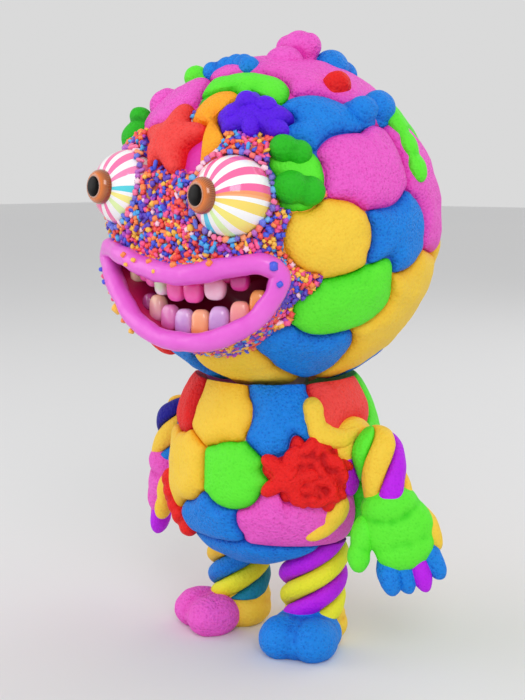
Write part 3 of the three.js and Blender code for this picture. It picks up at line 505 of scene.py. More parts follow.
HEAD_CLAY = located([
    lump("clay_brow_star", "coral", -5, 30, 8.5, 8.5, rise=6.4, lobes=star(18, 6.5), shoulder=3.6, rounding=2,
         grow=1),
    lump("clay_brow_splat", "purple", 30, 39, 9.5, 7, rise=6.5, shoulder=4, rounding=2, grow=1,
         lobes=[(0, 4, 18), (95, 4, 16), (180, 3, 20), (215, 3, 16), (315, 5, 16)]),
    lump("brow_amber", "amber", 12.5, 37, 9, 15, rise=4.2, lobes=[(258, 7, 24)], shoulder=4, rounding=2,
         grow=1,
         node=False),
    lump("clay_temple_knobs", "lime", 46, 17, 9.5, 11, rise=3.6, lobes=[(110, 2.5, 22)], shoulder=5, grow=1),
    lump("clay_jaw_lime", "lime", 66, -26, 19, 11, turn=15, lobes=[(48, 6, 16)]),
    lump("clay_cheek_yellow", "yellow", 57, -2, 15.5, 12.5),
    lump("clay_temple_pink", "pink", 72, 20, 18.5, 13.5),
    lump("clay_brow_lime", "lime", 21, 53, 16, 11, turn=-8),
    lump("clay_brow_blue", "blue", 57, 36, 15, 14, lobes=[(245, 6, 16)]),
    lump("clay_crown_pink", "pink", 80, 72, 30, 26),
    lump("clay_brow_pink", "pink", -30, 47, 17, 13),
    lump("clay_chin_yellow", "yellow", 12, -55, 15, 14),
    lump("clay_jaw_blue", "blue", 54, -45, 17, 12),
    lump("clay_chin_blue", "blue", -20, -54, 13, 13),
    lump("clay_side_blue", "blue", 85, -1, 15, 14),
    lump("clay_side_pink", "pink", 109, 15, 16, 21),
    lump("clay_side_yellow", "yellow", 98, -32, 21, 22),
    lump("clay_back_lime", "lime", 142, 44, 23, 20),
    lump("clay_back_blue", "blue", -148, 54, 26, 22),
    lump("clay_back_coral", "coral", -82, 44, 22, 19),
    lump("clay_nape_yellow", "yellow", 146, 2, 22, 23),
    lump("clay_nape_pink", "pink", -170, 12, 22, 22),
    lump("clay_nape_lime", "lime", -126, 2, 22, 24),
    lump("clay_cheek_blue", "blue", -77, 4, 25, 22),
    lump("clay_under_blue", "blue", 138, -42, 21, 20),
    lump("clay_under_coral", "coral", -170, -36, 24, 22),
    lump("clay_under_yellow", "yellow", -118, -42, 24, 20),
    lump("clay_jaw_pink", "pink", -66, -36, 23, 22),
])


def torso_clear(rays):
    place = rays * (torso_radius(rays) + CLAY_SEAT + 2)[..., None] + TORSO_CENTRE
    near_head = place[..., 2] > NECK_DISH_Z + 9.5
    beside = np.abs(place[..., 0]) > TORSO_HALF_WIDTH / 2
    from_shoulder = np.hypot(place[..., 1] - SHOULDER[1], place[..., 2] - SHOULDER[2])
    near_seat = beside & (from_shoulder < SHOULDER_RADIUS + 0.8)
    near_leg = (place[..., 2] < 46.5) & (np.hypot(np.abs(place[..., 0]) - LEG_X, place[..., 1]) < 15.7)
    return near_head | near_seat | near_leg


FACE_BED = located([
    lump("face_bed", "pink", -1, 2, 57, 40, lobes=[(318, 5, 20), (228, -13, 30)]),
])[0]

TORSO_PATCHES = located([
    lump("clay_belly_star", "red", 54, 12, 16, 11, rise=4.8, shoulder=4, rounding=1, grow=1,
         lobes=[(30, 6, 18), (100, 8, 18), (170, 6, 20), (235, 6, 18), (300, 5, 20)]),
    lump("clay_belly_lime", "lime", 14, 9, 18.5, 18.5, rise=4),
    lump("clay_chest_yellow", "yellow", 2, 39, 18, 14),
    lump("clay_chest_blue", "blue", 41, 38, 16.5, 18),
    lump("clay_shoulder_coral", "coral", 86, 42, 21, 14),
    lump("clay_flank_yellow", "yellow", -26, 8, 21, 19, rise=4),
    lump("clay_chest_red", "red", -37, 40, 13, 11, lobes=[(290, 7, 26)]),
    lump("clay_hip_pink", "pink", 46, -15, 29, 18),
    lump("clay_hip_blue", "blue", -3, -18, 22, 15),
    lump("clay_under_belly", "blue", 24, -46, 30, 13),
    lump("clay_back_left", "lime", 128, 14, 32, 34),
    lump("clay_back_middle", "yellow", -174, 4, 32, 38),
    lump("clay_back_right", "pink", -112, 8, 34, 36),
])


def make_head_clay():
    for i, patch in enumerate(HEAD_CLAY):
        others = (HEAD_CLAY[:i], HEAD_CLAY[i + 1:])
        clay_lump("head_" + patch["name"], HEAD, patch, others, head_clear,
                  patch["name"] if patch.get("node", True) else None)


def below_head(points):
    """Points in the space the head turns in are pushed down onto its dish."""
    away = points - HEAD_CENTRE
    distance = np.linalg.norm(away, axis=1)[:, None]
    return np.where(distance < DISH_RADIUS, HEAD_CENTRE + away / distance * DISH_RADIUS, points)


def make_torso_clay():
    for i, patch in enumerate(TORSO_PATCHES):
        shaped = {**patch, "rise": patch.get("rise", 3.6)}
        others = (TORSO_PATCHES[:i], TORSO_PATCHES[i + 1:])
        clay_lump("torso_" + patch["name"], TORSO, shaped, others, torso_clear, patch["name"])


# ---------- the clay under the lumps ----------
def clay_colours(patches, rays):
    """For each ray the number of the lump it belongs to, and how deep in a crease between lumps it is."""
    shares = np.stack([share_of(patch, rays) for patch in patches], axis=-1)
    order = np.sort(shares, axis=-1)
    margin = np.clip((order[..., 1] - order[..., 0]) / 0.3, 0, 1)
    return shares.argmin(axis=-1), margin


def underlay_material(name):
    material, tree, shader = principled(name)
    paint = tree.nodes.new("ShaderNodeAttribute")
    paint.attribute_name = "paint"
    skin = tree.nodes.new("ShaderNodeGroup")
    skin.node_tree = CLAY_SKIN
    skin.inputs["Pitting"].default_value = 0.8
    tree.links.new(paint.outputs["Color"], skin.inputs["Colour"])
    tree.links.new(paint.outputs["Color"], skin.inputs["Crease shade colour"])
    tree.links.new(skin.outputs["Colour"], shader.inputs["Base Color"])
    tree.links.new(skin.outputs["Roughness"], shader.inputs["Roughness"])
    bump_into(tree, shader, skin.outputs["Height"], 0.0002)
    return material


def add_paint(piece, colours):
    layer = piece.data.color_attributes.new("paint", "FLOAT_COLOR", "POINT")
    layer.data.foreach_set("color", np.asarray(colours, dtype=np.float32).reshape(-1))


def without(points, faces, dropped):
    """The points and faces left when every face touching a dropped point is taken away."""
    faces = [face for face in faces if not any(dropped[i] for i in face)]
    used = sorted({i for face in faces for i in face})
    renumber = {old: new for new, old in enumerate(used)}
    return points[used], [tuple(renumber[i] for i in face) for face in faces], used


def make_underlay(name, form, patches, clear, node):
    """The thin clay that fills what the lumps leave open, in the darker crease colour of the nearest lump:
    painted shade in the gaps between lumps.
    """
    rows, columns = 181, 360
    latitude = np.linspace(-90, 90, rows)[:, None] + np.zeros(columns)
    longitude = np.linspace(-180, 180, columns, endpoint=False)[None] + np.zeros((rows, 1))
    rays = direction(longitude, latitude)
    owner, margin = clay_colours(patches, rays)
    height = 0.4 + 1.5 * np.sqrt(margin)
    if clear is not None:
        height = np.where(clear(rays), -0.6, height)
    points = (rays * (form["radius"](rays) + height)[..., None] + form["centre"]).reshape(-1, 3)
    if form is TORSO:
        points = below_head(points)
    # Each lump's darker crease colour, used as painted shade for the sunken clay between lumps.
    crease_shade_palette = np.array([linear(CLAYS[patch["clay"]][1]) for patch in patches])
    if form is HEAD:
        hole = from_lips(rays) < 0
    else:
        hole = clear(rays) & (rays[..., 2] < 0)
    points, faces, used = without(points, grid_faces(rows, columns), hole.reshape(-1))
    piece = add_piece(name, points, faces, underlay_material(name), form["body"], node)
    add_paint(piece, crease_shade_palette[owner.reshape(-1)[used]])
    return piece


# ---------- lumps made of several rounded blobs ----------
def blob(centre, halves, axes=None):
    """A blob: its middle, its half sizes and its own axes as rows."""
    return np.asarray(centre, dtype=float), halves, np.eye(3) if axes is None else np.asarray(axes)


def blob_on(form, longitude, latitude, height, halves, turn=0.0):
    """A blob on a round form. Its half sizes run along its own east, its own north and outwards."""
    out, east, north = axes_at(longitude, latitude)
    angle = math.radians(turn)
    along = math.cos(angle) * east + math.sin(angle) * north
    across = -math.sin(angle) * east + math.cos(angle) * north
    centre = out * (form["radius"](out) + CLAY_SEAT + height) + form["centre"]
    return blob(centre, halves, [along, across, out])


def concavity(mesh):
    """0 on bulging skin up to 1 in the creases between blobs."""
    count = len(mesh.vertices)
    place = np.empty(count * 3)
    mesh.vertices.foreach_get("co", place)
    place = place.reshape(-1, 3)
    normal = np.empty(count * 3)
    mesh.vertex_normals.foreach_get("vector", normal)
    normal = normal.reshape(-1, 3)
    ends = np.empty(len(mesh.edges) * 2, dtype=int)
    mesh.edges.foreach_get("vertices", ends)
    ends = ends.reshape(-1, 2)
    value = np.zeros(count)
    degree = np.bincount(ends.reshape(-1), minlength=count)
    total = np.zeros((count, 3))
    for here, there in ((0, 1), (1, 0)):
        np.add.at(total, ends[:, here], place[ends[:, there]])
    offset = total / np.maximum(degree, 1)[:, None] - place
    value = np.clip((offset * normal).sum(axis=1) / 0.00006, 0, 1)
    for _ in range(6):
        spread = np.zeros(count)
        for here, there in ((0, 1), (1, 0)):
            np.add.at(spread, ends[:, here], value[ends[:, there]])
        value = 0.4 * value + 0.6 * spread / np.maximum(degree, 1)
    return np.clip(value * 2.2, 0, 1)


def clay_knob(name, clay, body, blobs, node=None, voxel=0.7, smoothing=6, ground=False, limit=None):
    """Blobs melted into one smooth lump of clay."""
    bm = bmesh.new()
    for centre, halves, axes in blobs:
        turn = Matrix([list(row) for row in np.asarray(axes).T])
        place = Matrix.Translation(Vector(to_frame(centre))) @ turn.to_4x4()
        scale = Matrix.Diagonal(Vector([half * MILLIMETRE for half in halves] + [1.0]))
        bmesh.ops.create_uvsphere(bm, u_segments=32, v_segments=20, radius=1.0, matrix=place @ scale)
    rough = bpy.data.meshes.new(name + "_rough")
    bm.to_mesh(rough)
    bm.free()
    piece = bpy.data.objects.new(name, rough)
    bpy.context.scene.collection.objects.link(piece)
    remesh = piece.modifiers.new("melt", "REMESH")
    remesh.mode = "VOXEL"
    remesh.voxel_size = voxel * MILLIMETRE
    soften = piece.modifiers.new("soften", "SMOOTH")
    soften.factor = 0.5
    soften.iterations = smoothing
    mesh = bpy.data.meshes.new_from_object(piece.evaluated_get(bpy.context.evaluated_depsgraph_get()))
    piece.modifiers.clear()
    piece.data = mesh
    bpy.data.meshes.remove(rough)
    mesh.name = name
    points = np.empty(len(mesh.vertices) * 3)
    mesh.vertices.foreach_get("co", points)
    points = points.reshape(-1, 3)
    normal = np.empty(len(mesh.vertices) * 3)
    mesh.vertex_normals.foreach_get("vector", normal)
    normal = normal.reshape(-1, 3)
    millimetres = points / MILLIMETRE
    bumps = lumpy(millimetres, 7.0, 0.35, len(name)) + lumpy(millimetres, 2.6, 0.12, len(name))
    points = points + normal * (bumps * MILLIMETRE)[:, None]
    if ground:
        points[:, 2] = np.maximum(points[:, 2], 0.0)
    if limit is not None:
        axis, side, value = limit
        points[:, axis] = side * np.maximum(side * points[:, axis], value * MILLIMETRE)
    mesh.vertices.foreach_set("co", points.reshape(-1))
    mesh.update()
    # The creases between the melted blobs are darkened towards the crease colour: painted shade.
    layer = mesh.attributes.new("crease", "FLOAT", "POINT")
    layer.data.foreach_set("value", concavity(mesh).astype(np.float32))
    mesh.polygons.foreach_set("use_smooth", [True] * len(mesh.polygons))
    mesh.materials.clear()
    mesh.materials.append(clay_material("clay_" + clay))
    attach(piece, body)
    if node:
        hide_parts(node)
    return piece


def crown_knobs():
    top = direction(88, 80) * (HEAD_RADIUS + CLAY_SEAT + CLAY_RISE) + HEAD_CENTRE
    clay_knob("crown_knob", "pink", "head", [
        blob(top + [0, 0, 0.5], (7.6, 7.0, 9.0)),
        blob(top + [-4.6, 0, 3.2], (5.2, 5.2, 5.0)),
        blob(top + [4.6, 0, 3.2], (5.2, 5.2, 5.0)),
        blob(top + [0, -9, -3], (8.0, 6.5, 6.0)),
    ])
    for name, clay, lon, lat, halves in (
        ("crown_ball_red", "red", 75, 54, (5.6, 5.0, 5.2)),
        ("brow_ball_blue", "blue", 79, 41, (6.4, 5.4, 5.6)),
        ("side_ball_blue", "blue", 92, 43, (7.2, 6.4, 6.4)),
        ("crown_ball_lime", "lime", -39, 61, (5.2, 4.8, 5.0)),
        ("brow_ball_pink", "pink", -42, 47, (5.4, 6.4, 5.0)),
    ):
        clay_knob(name, clay, "head", [
            blob_on(HEAD, lon, lat, 3.0, (halves[0], halves[1], halves[2])),
            blob_on(HEAD, lon, lat, 0.5, (halves[0] + 1.2, halves[1] + 1.2, 4.0)),
        ])
    clay_knob("crown_lump_blue", "blue", "head", [
        blob_on(HEAD, 113, 70, 2.0, (8.5, 7.0, 7.5)),
        blob_on(HEAD, 128, 66, 1.5, (6.0, 6.0, 6.0)),
    ])
    clay_knob("crown_frill_blue", "blue", "head", [
        blob_on(HEAD, lon, lat, 2.2, (4.2, 4.2, 4.4))
        for lon, lat in ((-30, 66), (-22, 70), (-10, 72), (4, 71), (14, 68))
    ])
    clay_knob("ear_green", "green", "head", [
        blob_on(HEAD, -43, 32, 2.5, (6.0, 7.0, 6.0)),
        blob_on(HEAD, -46, 38, 5.5, (4.2, 4.2, 5.0)),
        blob_on(HEAD, -38, 24, 1.5, (4.5, 6.0, 4.0)),
    ])
    clay_knob("temple_lumps_green", "green", "head", [
        blob_on(HEAD, 44, 13.5, 3.6, (6.4, 6.0, 5.6)),
        blob_on(HEAD, 50, 12.5, 2.8, (5.4, 5.4, 4.4)),
    ])
    clay_knob("temple_knob_deep_green", "green", "head", [
        blob_on(HEAD, 42, 26, 3.6, (5.2, 5.0, 5.6)),
        blob_on(HEAD, 47, 25, 2.8, (5.0, 4.6, 4.2)),
    ])
    clay_knob("splat_lumps_purple", "purple", "head", [
        blob_on(HEAD, 27, 43, 4.6, (4.2, 4.0, 4.0)),
        blob_on(HEAD, 35, 41, 4.4, (4.4, 4.0, 4.0)),
        blob_on(HEAD, 30, 34, 4.0, (3.6, 5.2, 3.6)),
        blob_on(HEAD, 22, 39, 3.6, (4.4, 3.8, 3.6)),
        blob_on(HEAD, 40, 33, 3.4, (4.6, 3.4, 3.4), -40),
    ])
    clay_knob("strip_lime", "lime", "head", [
        blob_on(HEAD, 98, lat, 3.2, (4.6, 6.0, 3.4)) for lat in (20, 28, 36, 43)
    ])
    clay_knob("chin_red", "red", "head", [
        blob_on(HEAD, -36, -44, 2.6, (7.0, 8.0, 4.4)),
        blob_on(HEAD, -42, -36, 2.4, (6.0, 6.0, 4.4)),
    ])


# ---------- the sprinkle bed ----------
SPRINKLES = {
    "violet": ("4a0cc4", 0.17), "blue": ("1440e4", 0.12), "cyan": ("1aa4f0", 0.08), "coral": ("fb3428", 0.19),
    "orange": ("ff8220", 0.12), "yellow": ("ffc020", 0.11), "pink": ("ff4090", 0.12),
    "magenta": ("b414c4", 0.06),
    "white": ("ffd0e4", 0.03),
}
SPRINKLE_SPACING = 1.85
SPRINKLE_SIZE = 1.36
BED_RISE = 2.6


def bed_height(rays):
    """Height of the sprinkle bed above the head shell: mounded round the eyes."""
    ring = from_eyes(rays)
    mound = 2.6 * np.exp(-(((ring - 16.0) / 4.2) ** 2))
    return CLAY_SEAT + BED_RISE + mound


def on_bed(rays, margin=0.0):
    open_face = covers(FACE_BED, rays, margin)
    for patch in HEAD_CLAY:
        open_face &= share_of(patch, rays) > (0.985 if patch.get("node", True) else 0.9)
    return open_face & (from_eyes(rays) > 14.4) & (from_lips(rays) > 1.5)


def muzzle_point(step, share):
    """A point on the skirt between the lips and the head: share 0 at the lips, 1 at the head."""
    line, out = LIP_LINE[step], LIP_OUT[step]
    height = HEAD_RADIUS * np.sin(np.radians(line[..., 1]))
    back = np.sqrt(np.maximum(HEAD_RADIUS ** 2 - height ** 2, 0)) + 1.0
    depth = LIP_LINE_RADIUS - 1 - back
    offset = LIP_RADIUS * 0.55 + share * (1.5 + 0.3 * depth)
    radius = (LIP_LINE_RADIUS - 1) * (1 - share) + back * share
    return lip_place(line + out * np.degrees(offset / HEAD_RADIUS)[..., None], radius)


def sprinkle_shapes():
    """Three sprinkle shapes of about unit half size: a blossom, a rod and a bead."""
    shapes = []
    count = 10
    angles = np.arange(count) * 2 * math.pi / count
    reach = np.where(np.arange(count) % 2 == 0, 1.0, 0.62)
    ring = np.stack([np.cos(angles) * reach, np.sin(angles) * reach], axis=1)
    low = np.column_stack([ring, np.full(count, -0.25)])
    high = np.column_stack([ring * 0.82, np.full(count, 0.42)])
    points = np.concatenate([low, high, [[0, 0, 0.62]], [[0, 0, -0.4]]])
    faces = []
    for i in range(count):
        beside = (i + 1) % count
        faces += [(i, beside, count + beside), (i, count + beside, count + i)]
        faces += [(count + i, count + beside, 2 * count), (beside, i, 2 * count + 1)]
    shapes.append((points, faces))
    for length, girth in ((1.25, 0.55), (0.8, 0.8)):
        sides = 7
        turns = np.arange(sides) * 2 * math.pi / sides
        rows = [(-length, 0.45), (-length * 0.72, 0.95), (length * 0.72, 0.95), (length, 0.45)]
        body = [[along, girth * wide * math.cos(t), girth * wide * math.sin(t)]
                for along, wide in rows for t in turns]
        body += [[-length * 1.08, 0, 0], [length * 1.08, 0, 0]]
        quads = grid_faces(len(rows), sides)
        faces = [f for a, b, c, d in quads for f in ((a, b, c), (a, c, d))]
        last = sides * len(rows)
        faces += [(last, (i + 1) % sides, i) for i in range(sides)]
        top = sides * (len(rows) - 1)
        faces += [(last + 1, top + i, top + (i + 1) % sides) for i in range(sides)]
        shapes.append((np.array(body), faces))
    return shapes


def sugar_group():
    """Pressed sugar: slight grain in colour and roughness."""
    group, inside, outside = new_group(
        "pressed_sugar",
        [("Colour", "NodeSocketColor", (1, 1, 1, 1)), ("Grain", "NodeSocketFloat", 0.2)],
        [("Colour", "NodeSocketColor"), ("Roughness", "NodeSocketFloat"), ("Height", "NodeSocketFloat")],
    )
    place = group.nodes.new("ShaderNodeTexCoord").outputs["Object"]
    grain = group.nodes.new("ShaderNodeTexNoise")
    grain.inputs["Scale"].default_value = 1600
    group.links.new(place, grain.inputs["Vector"])
    amount = math_node(group, "MULTIPLY", grain.outputs["Fac"], inside.outputs["Grain"])
    group.links.new(mix_colour(group, amount, inside.outputs["Colour"], (1, 1, 1, 1)),
                    outside.inputs["Colour"])
    rough = math_node(group, "ADD", math_node(group, "MULTIPLY", grain.outputs["Fac"], 0.25), 0.25)
    group.links.new(rough, outside.inputs["Roughness"])
    group.links.new(grain.outputs["Fac"], outside.inputs["Height"])
    return group


SUGAR = sugar_group()


def sugar_material(name, code, grain=0.12):
    material, tree, shader = principled(name)
    sugar = tree.nodes.new("ShaderNodeGroup")
    sugar.node_tree = SUGAR
    sugar.inputs["Colour"].default_value = linear(code)
    sugar.inputs["Grain"].default_value = grain
    tree.links.new(sugar.outputs["Colour"], shader.inputs["Base Color"])
    tree.links.new(sugar.outputs["Roughness"], shader.inputs["Roughness"])
    bump_into(tree, shader, sugar.outputs["Height"], 0.00008)
    return material


def scatter(name, material, places, shapes, kinds, sizes, turns, body):
    """Many small shapes as one piece. Places are (point, outward) pairs."""
    points, faces, start = [], [], 0
    for (place, out), kind, size, (yaw, tip) in zip(places, kinds, sizes, turns):
        shape, shape_faces = shapes[kind]
        along = np.cross(out, [0.3, 0.2, 1.0])
        along /= np.linalg.norm(along)
        across = np.cross(out, along)
        flat = math.cos(yaw) * along + math.sin(yaw) * across
        side = np.cross(out, flat)
        lifted = math.cos(tip) * flat + math.sin(tip) * out
        upward = np.cross(lifted, side)
        points.append(shape * size @ np.array([lifted, side, upward]) + place)
        faces += [tuple(i + start for i in face) for face in shape_faces]
        start += len(shape)
    return add_piece(name, np.concatenate(points), faces, material, body)


def fibonacci(count):
    index = np.arange(count) + 0.5
    height = 1 - 2 * index / count
    angle = math.pi * (1 + 5 ** 0.5) * index
    flat = np.sqrt(1 - height ** 2)
    return np.stack([flat * np.cos(angle), flat * np.sin(angle), height], axis=1)


def make_bed_ground():
    """The paste that the sprinkles are pressed into, over the face and down the skirt round the lips."""
    rows, columns = 150, 200
    latitude = np.linspace(-52, 58, rows)[:, None] + np.zeros(columns)
    longitude = np.linspace(-66, 66, columns)[None] + np.zeros((rows, 1))
    rays = direction(longitude, latitude)
    height = np.where(on_bed(rays, 0.02), bed_height(rays) - 0.5, 0.3)
    height = np.where(from_eyes(rays) < 14.2, 0.3, height)
    points = (rays * (HEAD_RADIUS + height)[..., None] + HEAD_CENTRE).reshape(-1, 3)
    inside = (from_lips(rays) < 0).reshape(-1)
    points, faces, _ = without(points, grid_faces(rows, columns, wrap=False), inside)
    add_piece("bed_paste", points, faces, bed_material(), "head", "face_bed")
    steps = np.arange(LIP_STEPS)
    shares = np.linspace(-0.05, 1, 14)
    skirt = np.stack([muzzle_point(steps, np.full(LIP_STEPS, share)) for share in shares])
    add_piece("muzzle_paste", skirt.reshape(-1, 3), grid_faces(len(shares), LIP_STEPS), bed_material(),
              "head")


def bed_material():
    if "bed_paste" in bpy.data.materials:
        return bpy.data.materials["bed_paste"]
    material, tree, shader = principled("bed_paste")
    place = tree.nodes.new("ShaderNodeTexCoord").outputs["Object"]
    cells = tree.nodes.new("ShaderNodeTexVoronoi")
    cells.inputs["Scale"].default_value = 620
    tree.links.new(place, cells.inputs["Vector"])
    split = tree.nodes.new("ShaderNodeSeparateColor")
    tree.links.new(cells.outputs["Color"], split.inputs["Color"])
    ramp = tree.nodes.new("ShaderNodeValToRGB")
    ramp.color_ramp.interpolation = "CONSTANT"
    start = 0.0
    for i, (code, share) in enumerate(SPRINKLES.values()):
        stop = ramp.color_ramp.elements[0] if i == 0 else ramp.color_ramp.elements.new(start)
        stop.color = linear(code)
        start += share
    ramp.color_ramp.elements[-1].position = 0.99
    tree.links.new(split.outputs["Red"], ramp.inputs["Fac"])
    shade = mix_colour(tree, 0.35, ramp.outputs["Color"], linear("7a1080"))
    tree.links.new(shade, shader.inputs["Base Color"])
    shader.inputs["Roughness"].default_value = 0.5
    bump_into(tree, shader, cells.outputs["Distance"], 0.0005)
    return material


def make_sprinkles(chance):
    rays = fibonacci(int(4 * math.pi * (HEAD_RADIUS + 4) ** 2 / (SPRINKLE_SPACING ** 2 * 0.866)))
    rays = rays[(rays[:, 1] < 0.35) & (np.abs(rays[:, 2]) < 0.9)]
    rays = rays + chance.normal(0, 0.0065, rays.shape)
    rays /= np.linalg.norm(rays, axis=1)[:, None]
    rays = rays[on_bed(rays)]
    spots = rays * (HEAD_RADIUS + bed_height(rays) + chance.normal(0, 0.3, len(rays)))[:, None] + HEAD_CENTRE
    places = list(zip(spots, rays))
    for share in np.arange(0.12, 1.25, 0.085):
        steps = np.arange(0, LIP_STEPS, 2) + chance.integers(0, 2, LIP_STEPS // 2)
        steps = steps[steps < LIP_STEPS]
        here = np.clip(share + chance.normal(0, 0.02, len(steps)), 0, 1.3)
        points = muzzle_point(steps, here)
        ahead = muzzle_point((steps + 1) % LIP_STEPS, here) - points
        down = muzzle_point(steps, here + 0.05) - points
        out = np.cross(down, ahead)
        out /= np.linalg.norm(out, axis=1)[:, None]
        out *= np.sign((out * (points - HEAD_CENTRE - [0, -20, -18])).sum(axis=1))[:, None]
        places += [(p + o * 0.3, o) for p, o in zip(points, out)]
    names = list(SPRINKLES)
    weights = np.array([SPRINKLES[name][1] for name in names])
    field = np.array([[noise.noise(Vector(p) / 7.5 + Vector((9.0 * k, 0, 0))) for k in range(len(names))]
                      for p, _ in places])
    weights = weights * np.exp(3.2 * field)
    weights /= weights.sum(axis=1)[:, None]
    drawn = (chance.random(len(places))[:, None] > np.cumsum(weights, axis=1)).sum(axis=1)
    kinds = chance.choice(3, len(places), p=[0.66, 0.16, 0.18])
    sizes = SPRINKLE_SIZE * chance.uniform(0.8, 1.15, len(places))
    turns = np.stack([chance.uniform(0, 2 * math.pi, len(places)), chance.normal(0, 0.4, len(places))],
                     axis=1)
    shapes = sprinkle_shapes()
    for number, name in enumerate(names):
        chosen = np.flatnonzero(drawn == number)
        scatter("sprinkles_" + name, sugar_material("sugar_" + name, SPRINKLES[name][0]),
                [places[i] for i in chosen], shapes, kinds[chosen], sizes[chosen], turns[chosen], "head")


# ---------- eyes ----------
# Angle round the gaze in turns, anticlockwise from the toy's left, and the candy colour from there on.
STRIPES = {
    "left": [
        (0.0, "ff9f6a"), (0.012, "ff6aa8"), (0.045, "ffffff"), (0.085, "ff6aa8"), (0.125, "ffffff"),
        (0.165, "ff74b0"), (0.205, "ffffff"), (0.245, "ff6aa8"), (0.28, "ffffff"), (0.33, "ff9ccb"),
        (0.37, "ffffff"),
        (0.45, "8fe4f6"), (0.50, "ffffff"), (0.58, "ff9ccb"), (0.63, "ffffff"), (0.665, "49d2f0"),
        (0.715, "ffffff"),
        (0.755, "e2ffb0"), (0.80, "ffffff"), (0.835, "fff07a"), (0.885, "ffffff"), (0.925, "ffe26a"),
        (0.965, "ffffff"),
        (0.985, "ffb27a"),
    ],
    "right": [
        (0.0, "ffffff"), (0.055, "ff8cc0"), (0.095, "ffffff"), (0.14, "ff74b0"), (0.185, "ffffff"),
        (0.225, "ff74b0"),
        (0.265, "ffffff"), (0.31, "ff8cc0"), (0.35, "ffffff"), (0.45, "ffd9b0"), (0.50, "ffffff"),
        (0.58, "ff5aa4"),
        (0.66, "ffffff"), (0.70, "ff74b0"), (0.74, "ffffff"), (0.80, "e9ffb4"), (0.85, "ffffff"),
        (0.89, "fff48a"),
        (0.93, "ffffff"), (0.955, "54dcea"), (0.995, "ffffff"),
    ],
}


STRIPE_SWIRL = 2.2  # turns per metre that the stripes swirl from front to back


def eye_material(side, centre):
    material, tree, shader = principled("eye_candy_" + side)
    place = tree.nodes.new("ShaderNodeTexCoord").outputs["Object"]
    from_middle = tree.nodes.new("ShaderNodeVectorMath")
    from_middle.operation = "SUBTRACT"
    from_middle.inputs[1].default_value = to_frame(centre)
    tree.links.new(place, from_middle.inputs[0])
    split = tree.nodes.new("ShaderNodeSeparateXYZ")
    tree.links.new(from_middle.outputs["Vector"], split.inputs["Vector"])
    angle = math_node(tree, "ARCTAN2", split.outputs["Z"], split.outputs["X"])
    turns = math_node(tree, "MULTIPLY", angle, 1 / (2 * math.pi))
    swirl = math_node(tree, "MULTIPLY", split.outputs["Y"], STRIPE_SWIRL)
    turned = math_node(tree, "FRACT", math_node(tree, "ADD", math_node(tree, "ADD", turns, swirl), 1.0))
    ramp = tree.nodes.new("ShaderNodeValToRGB")
    ramp.color_ramp.interpolation = "CONSTANT"
    for i, (start, code) in enumerate(STRIPES[side]):
        if i < 2:
            stop = ramp.color_ramp.elements[i]
            stop.position = start
        else:
            stop = ramp.color_ramp.elements.new(start)
        stop.color = linear(code)
    tree.links.new(turned, ramp.inputs["Fac"])
    tree.links.new(ramp.outputs["Color"], shader.inputs["Base Color"])
    shader.inputs["Roughness"].default_value = 0.12
    shader.inputs["Coat Weight"].default_value = 0.6
    shader.inputs["Coat Roughness"].default_value = 0.05
    return material


def gloss_material(name, code, roughness=0.15, coat=0.5):
    material, tree, shader = principled(name)
    wave = tree.nodes.new("ShaderNodeTexNoise")
    wave.inputs["Scale"].default_value = 260
    tree.links.new(tree.nodes.new("ShaderNodeTexCoord").outputs["Object"], wave.inputs["Vector"])
    deep = [value * 0.72 for value in linear(code)[:3]] + [1.0]
    tree.links.new(mix_colour(tree, wave.outputs["Fac"], linear(code), deep), shader.inputs["Base Color"])
    shader.inputs["Roughness"].default_value = roughness
    shader.inputs["Coat Weight"].default_value = coat
    shader.inputs["Coat Roughness"].default_value = 0.05
    return material


def iris_material(side, centre):
    """Fine rays and a darker rim round the pupil, painted by distance from the gaze line."""
    material, tree, shader = principled("iris_" + side)
    place = tree.nodes.new("ShaderNodeTexCoord").outputs["Object"]
    from_middle = tree.nodes.new("ShaderNodeVectorMath")
    from_middle.operation = "SUBTRACT"
    from_middle.inputs[1].default_value = to_frame(centre)
    tree.links.new(place, from_middle.inputs[0])
    split = tree.nodes.new("ShaderNodeSeparateXYZ")
    tree.links.new(from_middle.outputs["Vector"], split.inputs["Vector"])
    angle = math_node(tree, "ARCTAN2", split.outputs["Z"], split.outputs["X"])
    rays = math_node(tree, "SINE", math_node(tree, "MULTIPLY", angle, 46.0))
    rim = tree.nodes.new("ShaderNodeAttribute")
    rim.attribute_name = "crease"
    ramp = tree.nodes.new("ShaderNodeValToRGB")
    stops = ramp.color_ramp.elements
    stops[0].position, stops[0].color = 0.56, linear("5a1c04")
    stops[1].position, stops[1].color = 0.98, linear("7c2c04")
    middle = stops.new(0.74)
    middle.color = linear("e06c10")
    tree.links.new(rim.outputs["Fac"], ramp.inputs["Fac"])
    grain = math_node(tree, "MULTIPLY", math_node(tree, "ADD", rays, 1.0), 0.12)
    tree.links.new(mix_colour(tree, grain, ramp.outputs["Color"], linear("ffb050")),
                   shader.inputs["Base Color"])
    shader.inputs["Roughness"].default_value = 0.2
    shader.inputs["Coat Weight"].default_value = 0.8
    shader.inputs["Coat Roughness"].default_value = 0.04
    return material


GAZE_TURN = 9.0  # degrees that both eyes look towards the toy's right
GAZE_LIFT = 3.0  # degrees that they look up


def pupil_material(side):
    """Deep black paint with a soft sheen and a trace of brown unevenness."""
    material, tree, shader = principled("pupil_black_" + side)
    wave = tree.nodes.new("ShaderNodeTexNoise")
    wave.inputs["Scale"].default_value = 500
    tree.links.new(tree.nodes.new("ShaderNodeTexCoord").outputs["Object"], wave.inputs["Vector"])
    tree.links.new(mix_colour(tree, wave.outputs["Fac"], linear("020203"), linear("0c0604")),
                   shader.inputs["Base Color"])
    shader.inputs["Roughness"].default_value = 0.3
    shader.inputs["Specular IOR Level"].default_value = 0.12
    return material


